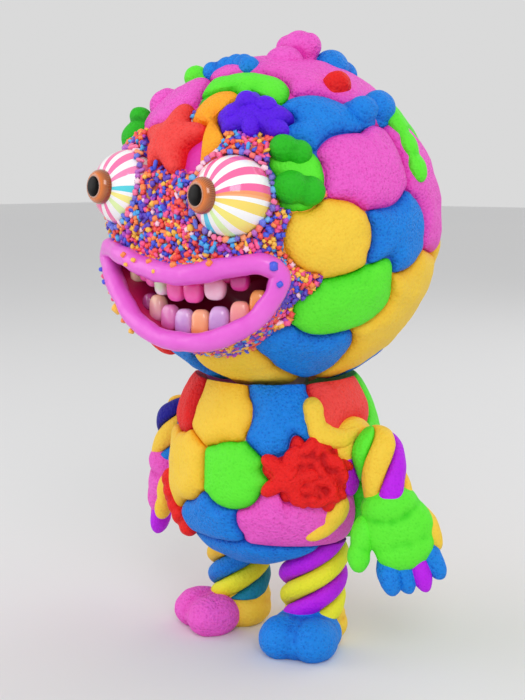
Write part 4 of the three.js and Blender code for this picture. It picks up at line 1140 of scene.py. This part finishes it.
def turned_along_gaze(profile, centre, segments=72):
    """Points and faces of a turned shape about the gaze line, from (radius, forward) pairs."""
    angles = np.arange(segments) * 2 * math.pi / segments
    turn, lift = math.radians(GAZE_TURN), math.radians(GAZE_LIFT)
    ahead = np.array([-math.sin(turn) * math.cos(lift), -math.cos(turn) * math.cos(lift), math.sin(lift)])
    aside = np.array([math.cos(turn), -math.sin(turn), 0.0])
    over = np.cross(aside, -ahead)
    points = [centre + r * math.cos(a) * aside + r * math.sin(a) * over + forward * ahead
              for r, forward in profile for a in angles]
    faces = grid_faces(len(profile), segments)
    faces.append(tuple(range(segments)))
    faces.append(tuple(range(segments * (len(profile) - 1), segments * len(profile))))
    return points, faces


def make_eyes(chance):
    shapes = sprinkle_shapes()
    for side, lon, lat in EYES:
        centre = EYE_CENTRES[side]
        arc = np.radians(np.linspace(2, 178, 60))
        ball, faces = turned_along_gaze([(EYE_RADIUS * math.sin(a), EYE_RADIUS * math.cos(a)) for a in arc],
                                        centre, 96)
        add_piece("eye_" + side, ball, faces, eye_material(side, centre), "head",
                  "eyeball_" + side)
        seat = EYE_RADIUS - 0.4
        ring = [(0.4, seat - 1), (IRIS_RADIUS * 0.94, seat - 2.0), (IRIS_RADIUS * 0.98, seat - 1.0),
                (IRIS_RADIUS * 0.98, seat + 0.2), (IRIS_RADIUS * 0.93, seat + 1.2),
                (IRIS_RADIUS * 0.84, seat + 2.0),
                (IRIS_RADIUS * 0.72, seat + 2.6), (IRIS_RADIUS * 0.60, seat + 2.9),
                (IRIS_RADIUS * 0.55, seat + 2.7),
                (0.3, seat + 2.4)]
        points, faces = turned_along_gaze(ring, centre)
        rims = np.repeat([radius / IRIS_RADIUS for radius, _ in ring], len(points) // len(ring))
        add_piece("iris_ring_" + side, points, faces, iris_material(side, centre), "head",
                  "iris_" + side, rims)
        bulge = np.radians(np.linspace(0, 88, 12))
        dome = [(3.7 * math.cos(b), seat + 2.7 + 1.1 * math.sin(b)) for b in bulge]
        points, faces = turned_along_gaze([(3.7, seat + 1.6), *dome], centre)
        add_piece("pupil_" + side, points, faces, pupil_material(side), "head")
        out, east, north = axes_at(lon, lat)
        count = 46
        names = ["blue", "coral", "white", "violet", "pink", "cyan", "orange", "magenta"]
        order = chance.choice(len(names), count)
        for number, name in enumerate(names):
            places = []
            for i in np.flatnonzero(order == number):
                angle = i * 2 * math.pi / count
                away = math.cos(angle) * east + math.sin(angle) * north
                places.append((centre + away * chance.uniform(14.9, 15.8) + out * chance.uniform(2.8, 4.0),
                               out * 0.6 + away * 0.8))
            if not places:
                continue
            amount = len(places)
            scatter(f"eye_beads_{side}_{name}",
                    sugar_material(f"bead_{side}_{name}", SPRINKLES[name][0], 0.3), places,
                    shapes, chance.choice(3, amount), chance.uniform(1.2, 1.7, amount),
                    [(0.4 * i, 0.0) for i in range(amount)], "head")


# ---------- lips, mouth and teeth ----------
def make_lips(chance):
    """A fat rolled lip all round the mouth, a little uneven as if rolled by hand."""
    sides = 28
    line = lip_place(LIP_LINE, np.full(LIP_STEPS, LIP_LINE_RADIUS))
    along = np.roll(line, -1, axis=0) - np.roll(line, 1, axis=0)
    along /= np.linalg.norm(along, axis=1)[:, None]
    heading = np.radians(LIP_LINE[:, 0])
    front = np.stack([np.sin(heading), -np.cos(heading), 0 * heading], axis=1)
    front -= (front * along).sum(axis=1)[:, None] * along
    front /= np.linalg.norm(front, axis=1)[:, None]
    side = np.cross(along, front)
    turns = np.arange(sides) * 2 * math.pi / sides
    upper = np.clip((LIP_LINE[:, 1] + 22) / 8, 0, 1)
    girth = LIP_RADIUS * (0.88 + 0.05 * upper)
    rows = [line + girth[:, None] * (math.cos(t) * front + math.sin(t) * side) for t in turns]
    points = np.stack(rows, axis=1).reshape(-1, 3)
    outward = points - np.repeat(line, sides, axis=0)
    outward /= np.linalg.norm(outward, axis=1)[:, None]
    points = points + outward * (lumpy(points, 8, 0.7, 3) + lumpy(points, 3, 0.2, 5))[:, None]
    faces = []
    for i in range(LIP_STEPS):
        j = (i + 1) % LIP_STEPS
        for k in range(sides):
            m = (k + 1) % sides
            faces.append((i * sides + k, j * sides + k, j * sides + m, i * sides + m))
    add_piece("lips_rolled", points, faces, lip_material(), "head", "lips")
    dots = {"orange": [], "yellow": [], "blue": [], "pink": [], "white": []}

    def dot(colour, longitude, latitude, lift, size):
        place = np.array([longitude, latitude])
        nearest = np.linalg.norm(LIP_LINE - place, axis=1).argmin()
        offset = (place - LIP_LINE[nearest]) @ LIP_OUT[nearest] * math.radians(HEAD_RADIUS)
        tilt = np.clip(offset / LIP_RADIUS, -0.95, 0.95)
        out_flat = LIP_OUT[nearest]
        turn = heading[nearest]
        east = np.array([math.cos(turn), math.sin(turn), 0.0])
        sideways = out_flat[0] * east + [0, 0, out_flat[1]]
        outward = front[nearest] * math.sqrt(1 - tilt ** 2) + tilt * sideways
        outward /= np.linalg.norm(outward)
        dots[colour].append((line[nearest] + outward * (LIP_RADIUS + lift), outward, size))

    for longitude, latitude, size in ((-14, -9.2, 1.3), (-9, -10.6, 1.1), (-3, -10.8, 1.3), (-12, -12.5, 1.0),
                                      (7, -11.6, 1.5), (20, -10.4, 1.5), (1, -14.0, 0.9)):
        dot("orange" if size > 1.2 else "yellow", longitude, latitude, 0.0, size)
    for longitude, latitude, size in ((38.5, -11.0, 2.0), (40.5, -17.0, 1.4),
                                      (-37, -16, 1.2), (-31, -20, 1.1)):
        dot("blue", longitude, latitude, 0.0, size)
    for number, (longitude, latitude) in enumerate(((-36, -18.5), (-33.5, -20.5), (-30, -24), (-27, -26),
                                                    (-23, -30), (-18, -34), (-13, -37.5))):
        colour = ("pink", "white", "orange", "pink", "yellow", "orange", "yellow")[number]
        dot(colour, longitude, latitude, 0.4, 1.3 if number != 4 else 2.6)
    shapes = sprinkle_shapes()
    for colour, found in dots.items():
        places = [(place, outward) for place, outward, _ in found]
        if not places:
            continue
        sizes = [size for _, _, size in found]
        turns_drawn = [(value, 0.0) for value in chance.uniform(0, 6, len(places))]
        scatter("lip_dots_" + colour, sugar_material("lip_sugar_" + colour, SPRINKLES[colour][0]), places,
                shapes,
                [2] * len(places), sizes, turns_drawn, "head")


def lip_material():
    material, tree, shader = principled("lip_sheen")
    place = tree.nodes.new("ShaderNodeTexCoord").outputs["Object"]
    wave = tree.nodes.new("ShaderNodeTexNoise")
    wave.inputs["Scale"].default_value = 120
    wave.inputs["Detail"].default_value = 4
    tree.links.new(place, wave.inputs["Vector"])
    skin = tree.nodes.new("ShaderNodeTexNoise")
    skin.inputs["Scale"].default_value = 900
    tree.links.new(place, skin.inputs["Vector"])
    tree.links.new(mix_colour(tree, wave.outputs["Fac"], linear("f070e0"), linear("e44ed0")),
                   shader.inputs["Base Color"])
    shader.inputs["Roughness"].default_value = 0.34
    shader.inputs["Coat Weight"].default_value = 0.25
    shader.inputs["Coat Roughness"].default_value = 0.2
    bump_into(tree, shader, skin.outputs["Fac"], 0.0001)
    return material


def make_mouth_lining():
    """The dark red inside of the mouth, a funnel that closes behind the teeth."""
    shares = np.linspace(0, 1, 18)
    rows = []
    for share in shares:
        radius = LIP_LINE_RADIUS - 2 - (LIP_LINE_RADIUS - 2 - MOUTH_BACK) * share
        shrink = LINER_INSET + 0.9 + 5.0 * share ** 3
        line = LIP_LINE - LIP_OUT * math.degrees(shrink / HEAD_RADIUS)
        rows.append(lip_place(line, np.full(LIP_STEPS, radius)))
    points = np.concatenate(rows)
    back = lip_place(MOUTH_MIDDLE[None], np.array([MOUTH_BACK - 1]))
    faces = grid_faces(len(shares), LIP_STEPS)
    start = (len(shares) - 1) * LIP_STEPS
    faces += [(start + i, start + (i + 1) % LIP_STEPS, len(points)) for i in range(LIP_STEPS)]
    add_piece("mouth_lining", np.concatenate([points, back]), faces,
              gloss_material("mouth_flesh", "c8185e", 0.4, 0.2),
              "head", "mouth_liner")


def lip_height(longitude, upper):
    chosen = LIP_LINE[(LIP_LINE[:, 1] > MOUTH_MIDDLE[1] + 3) == upper]
    order = np.argsort(chosen[:, 0])
    latitude = np.interp(longitude, chosen[order, 0], chosen[order, 1])
    return HEAD_CENTRE[2] + HEAD_RADIUS * math.sin(math.radians(latitude))


def tooth_group():
    """Sugar enamel: paler at the tip, pearly unevenness."""
    group, inside, outside = new_group(
        "sugar_enamel",
        [("Root colour", "NodeSocketColor", (1, 1, 1, 1)), ("Tip colour", "NodeSocketColor", (1, 1, 1, 1))],
        [("Colour", "NodeSocketColor"), ("Roughness", "NodeSocketFloat"), ("Height", "NodeSocketFloat")],
    )
    tip = group.nodes.new("ShaderNodeAttribute")
    tip.attribute_name = "crease"
    wave = group.nodes.new("ShaderNodeTexNoise")
    wave.inputs["Scale"].default_value = 300
    group.links.new(group.nodes.new("ShaderNodeTexCoord").outputs["Object"], wave.inputs["Vector"])
    uneven = math_node(group, "MULTIPLY", math_node(group, "SUBTRACT", wave.outputs["Fac"], 0.5), 0.7)
    amount = math_node(group, "ADD", tip.outputs["Fac"], uneven)
    amount.node.use_clamp = True
    colour = mix_colour(group, amount, inside.outputs["Root colour"], inside.outputs["Tip colour"])
    group.links.new(colour, outside.inputs["Colour"])
    rough = math_node(group, "ADD", math_node(group, "MULTIPLY", wave.outputs["Fac"], 0.2), 0.12)
    group.links.new(rough, outside.inputs["Roughness"])
    group.links.new(wave.outputs["Fac"], outside.inputs["Height"])
    return group


ENAMEL = tooth_group()
# Each tooth: longitude, half width, half height, drop of its middle from the lip line, root and tip colours.
UPPER_TEETH = [
    (-27.0, 2.3, 3.0, 5.0, "ffd9a8", "ffe9c8"), (-22.5, 2.2, 3.2, 5.6, "ff5fb4", "ff8ac8"),
    (-18.0, 2.3, 3.4, 6.0, "ff58b8", "ff74c4"), (-13.2, 2.4, 3.6, 6.2, "ff4fb0", "ff7ac8"),
    (-7.2, 2.9, 4.0, 6.6, "b8f07a", "fff0ff"), (0.3, 3.6, 4.4, 6.8, "ff49a8", "ff6cc4"),
    (8.3, 3.8, 4.4, 6.6, "ff3fa4", "ff66c0"), (17.2, 4.0, 4.2, 6.6, "ff9fc4", "f6d4e6"),
    (26.6, 3.5, 3.4, 5.8, "c41c84", "d83c9c"),
]
LOWER_TEETH = [
    (-15.0, 2.8, 3.2, 5.6, "8a2a6c", "b0508c"), (-9.8, 3.6, 5.0, 7.0, "d88ab4", "f0c0a0"),
    (-3.0, 3.6, 4.8, 7.0, "d860b0", "e890c8"), (4.2, 3.7, 5.0, 7.2, "c07ad8", "e0b8e8"),
    (11.4, 3.6, 5.2, 7.4, "ff9a58", "ffb890"), (18.8, 3.9, 5.4, 7.4, "c084dc", "dcb0e8"),
    (26.6, 3.7, 4.8, 7.0, "f88aa0", "ffb0a0"), (33.4, 3.4, 4.4, 6.4, "ff8a30", "ffb468"),
    (38.0, 2.2, 2.8, 5.0, "c03c98", "d868b8"),
]
TEETH_RADIUS = 57.0
TOOTH_THICKNESS = 3.0


def make_teeth():
    rows, columns = 24, 32
    for upper, teeth, node in ((True, UPPER_TEETH, "upper_teeth"), (False, LOWER_TEETH, "lower_teeth")):
        side = 1 if upper else -1
        jaw = "upper" if upper else "lower"
        for number, (longitude, half_width, half_height, drop, root, tip) in enumerate(teeth):
            polar = np.linspace(0, math.pi, rows)[:, None] + np.zeros(columns)
            around = np.linspace(0, 2 * math.pi, columns, endpoint=False)[None] + np.zeros((rows, 1))

            def squared(value, power):
                return np.sign(value) * np.abs(value) ** power

            x = squared(np.sin(polar), 0.62) * squared(np.cos(around), 0.7) * half_width
            y = squared(np.sin(polar), 0.62) * squared(np.sin(around), 0.7) * TOOTH_THICKNESS
            z = -side * squared(np.cos(polar), 0.72) * half_height
            taper = 1 - 0.10 * np.cos(polar)
            heading = math.radians(longitude)
            height = lip_height(longitude, upper) - side * drop - (0 if upper else 1.6)
            centre = np.array([math.sin(heading) * TEETH_RADIUS, -math.cos(heading) * TEETH_RADIUS, height])
            east = np.array([math.cos(heading), math.sin(heading), 0.0])
            front = np.array([math.sin(heading), -math.cos(heading), 0.0])
            points = (centre + (x * taper)[..., None] * east - (y * taper)[..., None] * front
                      + z[..., None] * np.array([0, 0, 1.0])).reshape(-1, 3)
            points = points + lumpy(points, 3.5, 0.25, number)[:, None] * front
            material, tree, shader = principled(f"tooth_{jaw}_{number}")
            enamel = tree.nodes.new("ShaderNodeGroup")
            enamel.node_tree = ENAMEL
            enamel.inputs["Root colour"].default_value = linear(root)
            enamel.inputs["Tip colour"].default_value = linear(tip)
            tree.links.new(enamel.outputs["Colour"], shader.inputs["Base Color"])
            tree.links.new(enamel.outputs["Roughness"], shader.inputs["Roughness"])
            shader.inputs["Coat Weight"].default_value = 0.5
            shader.inputs["Coat Roughness"].default_value = 0.1
            bump_into(tree, shader, enamel.outputs["Height"], 0.00015)
            shade = np.clip(0.5 + 0.5 * np.cos(polar) * 1.4, 0, 1).reshape(-1)
            add_piece(f"tooth_{jaw}_{number}", points, grid_faces(rows, columns), material, "head",
                      node if number == 0 else None, shade)
        longitudes = np.linspace(teeth[0][0] - 2, teeth[-1][0] + 2, 60)
        sides = 12
        gum = []
        for longitude in longitudes:
            heading = math.radians(longitude)
            centre = np.array([math.sin(heading) * (TEETH_RADIUS - 1.5),
                               -math.cos(heading) * (TEETH_RADIUS - 1.5),
                               lip_height(longitude, upper) - side * 3.6])
            front = np.array([math.sin(heading), -math.cos(heading), 0.0])
            for k in range(sides):
                angle = 2 * math.pi * k / sides
                gum.append(centre + front * 3.0 * math.cos(angle) + np.array([0, 0, 2.2 * math.sin(angle)]))
        add_piece(f"gum_{jaw}", gum, grid_faces(len(longitudes), sides),
                  gloss_material(f"gum_{jaw}", "c01870", 0.3, 0.4),
                  "head")


# ---------- ropes of twisted clay: arms and legs ----------
def rope(name, place, low, high, girth, clays, pitch, phase, body, slots_node, squeeze=None):
    """Strands of clay twisted together along the local Z axis. Girth gives the rope's radius at a height."""
    count = len(clays)
    half = math.pi / count * 1.04
    steps = 56
    heights = np.linspace(low, high, steps)
    across = np.linspace(-1, 1, 17)
    for number, clay in enumerate(clays):
        rows = []
        for height in heights:
            radius = girth(height)
            depth = radius * ROPE_DEPTH
            middle = phase + 2 * math.pi * (number / count + height / pitch)
            angle = middle + half * across
            reach = radius - depth + depth * np.sqrt(np.maximum(1 - across ** 2, 0))
            inner = np.array([0.55, 0.0, -0.55]) * half + middle
            reach = np.concatenate([reach, np.full(3, max(radius - 2.2 * depth, 0.4))])
            angle = np.concatenate([angle, inner])
            rows.append(np.stack([np.sin(angle) * reach, -np.cos(angle) * reach,
                                  np.full(len(angle), height)], axis=1))
        columns = len(rows[0])
        points = np.concatenate(rows)
        normal = points * [1, 1, 0]
        normal /= np.maximum(np.linalg.norm(normal, axis=1), 1e-6)[:, None]
        swell = lumpy(points, 8, 0.5, number + 2) + lumpy(points, 2.6, 0.12, number)
        points = points + normal * swell[:, None]
        points = points @ np.asarray(place)[:3, :3].T + np.asarray(place)[:3, 3]
        if squeeze is not None:
            points = squeeze(points)
        faces = grid_faces(steps, columns)
        faces.append(tuple(range(columns)))
        faces.append(tuple(range(columns * (steps - 1), columns * steps)))
        shade = np.concatenate([np.exp(-(1 - np.abs(across)) / 0.10), np.ones(3)])
        add_piece(f"{name}_{number}", points, faces, clay_material("clay_" + clay), body,
                  slots_node if number == 0 else None, np.tile(shade, steps))


def mirror_matrix(side):
    return np.diag([side, 1.0, 1.0, 1.0])


def limb_frame():
    """The left arm's own frame: its Z axis runs up the arm from the wrist through the shoulder's middle."""
    frame_at = Matrix.Translation(Vector(SHOULDER)) @ Matrix.Rotation(-math.radians(ARM_LEAN), 4, "Y")
    return np.array(frame_at)


def arm_girth(height):
    if height > 0:
        return 10.2 * math.sqrt(max(1 - (height / 10.9) ** 2, 0.01))
    return 10.2 + height * 0.06


def make_arms():
    for side, body, clays, phase in (
        (1, "arm_left", ("lime", "yellow", "magenta", "yellow"), -0.75),
        (-1, "arm_right", ("navy", "yellow", "blue", "yellow"), -0.9),
    ):
        place = mirror_matrix(side) @ limb_frame()

        def flat_inside(points, side=side):
            points[:, 0] = side * np.maximum(side * points[:, 0], 45.1)
            return points

        rope(f"{body}_strand", place, -ARM_LENGTH - 1.5, 10.7, arm_girth, clays, 62 * side, phase * side,
             body, body,
             flat_inside)


def hand_blob(side, centre, halves, lean=0.0):
    """A blob in the hand's own frame: fingers down, thumb towards -Y and the back of the hand towards +X."""
    place = Matrix(limb_frame().tolist()) @ Matrix.Translation((0, 0, -ARM_LENGTH - FIT))
    place = place @ Matrix.Rotation(-math.radians(90 - HAND_TURN), 4, "Z")
    local = place @ Matrix.Translation(Vector(centre)) @ Matrix.Rotation(math.radians(lean), 4, "X")
    middle = np.array(local.translation) * [side, 1, 1]
    axes = np.array(local.to_3x3()).T * [side, 1, 1]
    return blob(middle, halves, axes)


HANDS = {
    "hand_left": (1, [
        ("back", "lime", [((0.6, 0.5, -11), (7.2, 13.6, 12), 0), ((0, -0.6, -2.5), (9.9, 11.0, 8.0), 0),
                          ((0.8, 1.0, -19), (6.0, 11.6, 8.6), 4)]),
        ("thumb", "lime", [((-0.4, -12.8, -11), (4.6, 4.9, 8.5), -24),
                           ((-0.2, -16.4, -18), (4.0, 4.3, 6.4), -16)]),
        ("finger_1", "blue", [((-1, -6.6, -27), (4.5, 4.8, 8.8), -4)]),
        ("finger_2", "blue", [((-1.2, -1.2, -28.2), (4.3, 4.2, 8.6), 2)]),
        ("finger_3", "magenta", [((-0.8, 4.6, -28.6), (4.4, 4.3, 9.0), 5)]),
        ("finger_4", "blue", [((-1.2, 10.4, -26.2), (4.3, 4.3, 8.4), 11)]),
        ("wedge", "yellow", [((-1.6, 12.4, -14.5), (4.6, 3.8, 9.5), 8)]),
    ]),
    "hand_right": (-1, [
        ("back", "pink", [((0.6, 0.5, -11), (7.0, 12.8, 11.8), 0), ((0, -0.6, -2.5), (9.7, 10.8, 7.8), 0),
                          ((0.6, 0, -19), (5.8, 10.4, 8.0), 0)]),
        ("thumb", "yellow", [((-0.4, -12.4, -10), (4.4, 4.6, 8.2), -24),
                             ((-0.2, -15.8, -16.5), (3.8, 4.0, 5.8), -16)]),
        ("finger_1", "magenta", [((-1, -6.4, -26.6), (4.4, 4.4, 8.4), -4)]),
        ("finger_2", "pink", [((-1, -0.6, -27.6), (4.3, 4.2, 8.6), 1)]),
        ("finger_3", "magenta", [((-1, 5.0, -27.2), (4.3, 4.3, 8.6), 6)]),
        ("finger_4", "yellow", [((-1, 10.0, -24.8), (4.1, 4.1, 7.8), 12)]),
        ("wedge", "blue", [((-1.2, 11.4, -12.0), (4.6, 3.8, 8.5), 8)]),
    ]),
}


def make_hands():
    for node, (side, parts) in HANDS.items():
        body = node.replace("hand", "arm")
        for number, (part, clay, blobs) in enumerate(parts):
            clay_knob(f"{node}_{part}", clay, body, [hand_blob(side, *shape) for shape in blobs],
                      node if number == 0 else None, voxel=0.7, smoothing=14 if part == "back" else 6,
                      limit=(0, side, 42.0))


def leg_girth(height):
    share = (height - LEG_FOOT_Z) / (LEG_TOP_Z - LEG_FOOT_Z)
    in_pocket = min(max((height - 37.0) / 4.0, 0), 1)
    return 12.9 + 1.6 * min(max(share, 0), 1) - 0.9 * in_pocket


def make_legs():
    for side, body, clays, phase in (
        (1, "leg_left", ("magenta", "lemon", "magenta", "lemon"), 0.55),
        (-1, "leg_right", ("yellow", "blue", "lemon", "teal"), 0.45),
    ):
        place = np.eye(4)
        place[0, 3] = side * LEG_X
        rope(f"{body}_strand", place, LEG_FOOT_Z - 2, LEG_TOP_Z, leg_girth, clays, 37.0, phase, body, body)


def foot_blob(side, centre, halves):
    turn = Matrix.Rotation(math.radians(FOOT_SPLAY), 4, "Z")
    middle = np.array(turn @ Vector(centre)) + [LEG_X, 0, 0]
    axes = np.array(turn.to_3x3()).T
    return blob(middle * [side, 1, 1], halves, axes * [side, 1, 1])


def make_feet():
    toes = [((-6.4, -16.6, 6.6), (9.2, 11.6, 8.6)), ((6.4, -15.6, 6.6), (9.2, 11.2, 8.6)),
            ((0, -15.0, 6.2), (8.0, 11.0, 8.2))]
    bridge = [((0, -7.5, 6.8), (14.6, 11.0, 9.4)), ((0, -4.5, 10.5), (11.5, 9.5, 7.0))]
    heel = [((0, -0.5, 6.8), (14.8, 13.0, 9.3)), ((0, 1.5, 11.5), (13.0, 11.4, 6.6))]
    small_heel = [((0, 3.0, 7.0), (13.4, 10.4, 9.2)), ((0, 2.0, 12), (12.6, 10.6, 6.5))]
    for side, node, front, rear in ((1, "foot_left", "blue", "yellow"), (-1, "foot_right", "pink", "yellow")):
        body = node.replace("foot", "leg")
        front_shapes, rear_shapes = (toes + bridge, small_heel) if side > 0 else (toes, heel)
        clay_knob(f"{node}_toes", front, body, [foot_blob(side, *shape) for shape in front_shapes], node,
                  voxel=0.7,
                  smoothing=6, ground=True)
        clay_knob(f"{node}_heel", rear, body, [foot_blob(side, *shape) for shape in rear_shapes], None,
                  voxel=0.7,
                  smoothing=6, ground=True)


# ---------- torso extras ----------
def torso_knobs():
    clay_knob("belly_star_red", "red", "torso", [
        blob_on(TORSO, 46 + 9.5 * math.cos(math.radians(a)), 11 + 9 * math.sin(math.radians(a)), 3.6,
                (5.6, 3.2, 3.0), a)
        for a in (0, 72, 144, 216, 288)
    ] + [blob_on(TORSO, 46, 11, 3.6, (6.5, 6.5, 3.4))])
    rng = np.random.default_rng(SEED + 1)
    cluster = []
    for number in range(CLUSTER_BLOBS):
        away = math.sqrt((number + 0.5) / CLUSTER_BLOBS)
        angle = number * GOLDEN_ANGLE
        longitude = 60 + 15.5 * away * math.cos(angle) + rng.uniform(-1, 1)
        latitude = 11 + 15 * away * math.sin(angle) - 0.12 * (longitude - 62) + rng.uniform(-1, 1)
        halves = (rng.uniform(2.6, 5.4), rng.uniform(1.8, 2.8), rng.uniform(2.2, 3.6))
        cluster.append(blob_on(TORSO, longitude, latitude, 3.0 + rng.uniform(-0.8, 2.0), halves,
                               rng.uniform(0, 180)))
    clay_knob("belly_cluster_red", "red", "torso", cluster, voxel=0.6, smoothing=3)
    clay_knob("chest_drip_yellow", "yellow", "torso", [
        blob_on(TORSO, longitude, latitude, 3.4, (5.2, 4.0, 3.4), turn)
        for longitude, latitude, turn in ((61, 40, 90), (61, 36, 90), (61.5, 32, 80), (64, 29, 30),
                                          (68, 27.5, 0),
                                          (72, 26.5, 0), (76, 26, 0), (80, 26, 0), (84, 27, 0), (88, 28, 0))
    ], smoothing=4, limit=(0, -1, -SEAT_FACE_X))
    clay_knob("side_wedge_magenta", "magenta", "torso", [
        blob_on(TORSO, 79, 7, 2.8, (5.0, 7.0, 3.4)), blob_on(TORSO, 80, 15, 2.6, (5.4, 5.0, 3.4)),
    ], limit=(0, -1, -SEAT_FACE_X))
    clay_knob("side_wedge_yellow", "yellow", "torso", [
        blob_on(TORSO, 72, -10, 2.4, (5.0, 7.5, 3.0), -25), blob_on(TORSO, 66, -19, 2.2, (8.0, 3.6, 3.0), 25),
    ])
    clay_knob("side_lumps_red", "red", "torso", [
        blob_on(TORSO, longitude, latitude, 2.8, (4.6, 4.4, 3.8))
        for longitude, latitude in ((-46, -10), (-44, -17), (-50, -4), (-52, -14),
                                    (-40, -23), (-48, -24), (-34, -29), (-42, -31))
    ])
    for side, clay in ((1, "yellow"), (-1, "navy")):
        boss = [blob([side * 39.6, SHOULDER[1], SHOULDER[2]], (6.6, 12.4, 12.4)),
                blob([side * 36, SHOULDER[1], SHOULDER[2] - 1], (7.0, 14.5, 14.0))]
        clay_knob("shoulder_boss_" + ("left" if side > 0 else "right"), clay, "torso", boss,
                  limit=(0, -side, -SEAT_FACE_X))


# ---------- stage, light and camera ----------
def make_camera():
    azimuth, elevation = math.radians(CAMERA_AZIMUTH), math.radians(CAMERA_ELEVATION)
    back = np.array([math.sin(azimuth) * math.cos(elevation), -math.cos(azimuth) * math.cos(elevation),
                     math.sin(elevation)])
    right = np.array([math.cos(azimuth), math.sin(azimuth), 0.0])
    aim = np.array([0.0, 0.0, 116.5]) - right * 5.4
    camera = bpy.data.objects.new("camera", bpy.data.cameras.new("camera"))
    bpy.context.scene.collection.objects.link(camera)
    camera.data.sensor_width = 36
    camera.data.lens = CAMERA_LENS
    camera.data.clip_start = 0.01
    camera.location = to_frame(aim + back * CAMERA_DISTANCE)
    camera.rotation_euler = Vector(-back).to_track_quat("-Z", "Y").to_euler()
    bpy.context.scene.camera = camera


def soft_light(name, place, power, size):
    lamp = bpy.data.lights.new(name, "AREA")
    lamp.energy = power
    lamp.size = size
    holder = bpy.data.objects.new(name, lamp)
    bpy.context.scene.collection.objects.link(holder)
    holder.location = place
    holder.rotation_euler = (Vector((0, 0, 0.13)) - Vector(place)).to_track_quat("-Z", "Y").to_euler()


def make_stage():
    mesh = bpy.data.meshes.new("floor")
    half = FLOOR_HALF
    corners = [(-half, -half, 0), (half, -half, 0), (half, half, 0), (-half, half, 0)]
    mesh.from_pydata(corners, [], [(0, 1, 2, 3)])
    floor = bpy.data.objects.new("floor", mesh)
    bpy.context.scene.collection.objects.link(floor)
    material, tree, shader = principled("studio_floor")
    grain = tree.nodes.new("ShaderNodeTexNoise")
    grain.inputs["Scale"].default_value = 4
    pale = mix_colour(tree, grain.outputs["Fac"], (0.75, 0.75, 0.76, 1), (0.78, 0.78, 0.78, 1))
    tree.links.new(pale, shader.inputs["Base Color"])
    shader.inputs["Roughness"].default_value = 0.8
    mesh.materials.append(material)
    world = bpy.data.worlds.new("studio")
    bpy.context.scene.world = world
    world.use_nodes = True
    world.node_tree.nodes["Background"].inputs["Color"].default_value = (1, 1, 1, 1)
    world.node_tree.nodes["Background"].inputs["Strength"].default_value = WORLD_STRENGTH
    soft_light("key", (0.9, -0.9, 0.9), 7.0, 0.7)
    soft_light("fill", (-0.9, -0.7, 0.5), 3.5, 0.9)
    soft_light("back", (0.2, 1.0, 0.8), 2.5, 0.9)
    bpy.context.scene.view_settings.view_transform = "Standard"


make_camera()
make_stage()
chance = np.random.default_rng(SEED)
make_head_clay()
make_underlay("head_underlay", HEAD, [patch for patch in HEAD_CLAY if patch.get("grow", CLAY_GROW) > 1], None,
              "head_shell")
crown_knobs()
make_bed_ground()
make_sprinkles(chance)
make_eyes(chance)
make_lips(chance)
make_mouth_lining()
make_teeth()
make_torso_clay()
torso_knobs()
make_arms()
make_hands()
make_legs()
make_feet()
make_underlay("torso_underlay", TORSO, [patch for patch in TORSO_PATCHES if patch.get("grow", CLAY_GROW) > 1],
              torso_clear, "torso_shell")
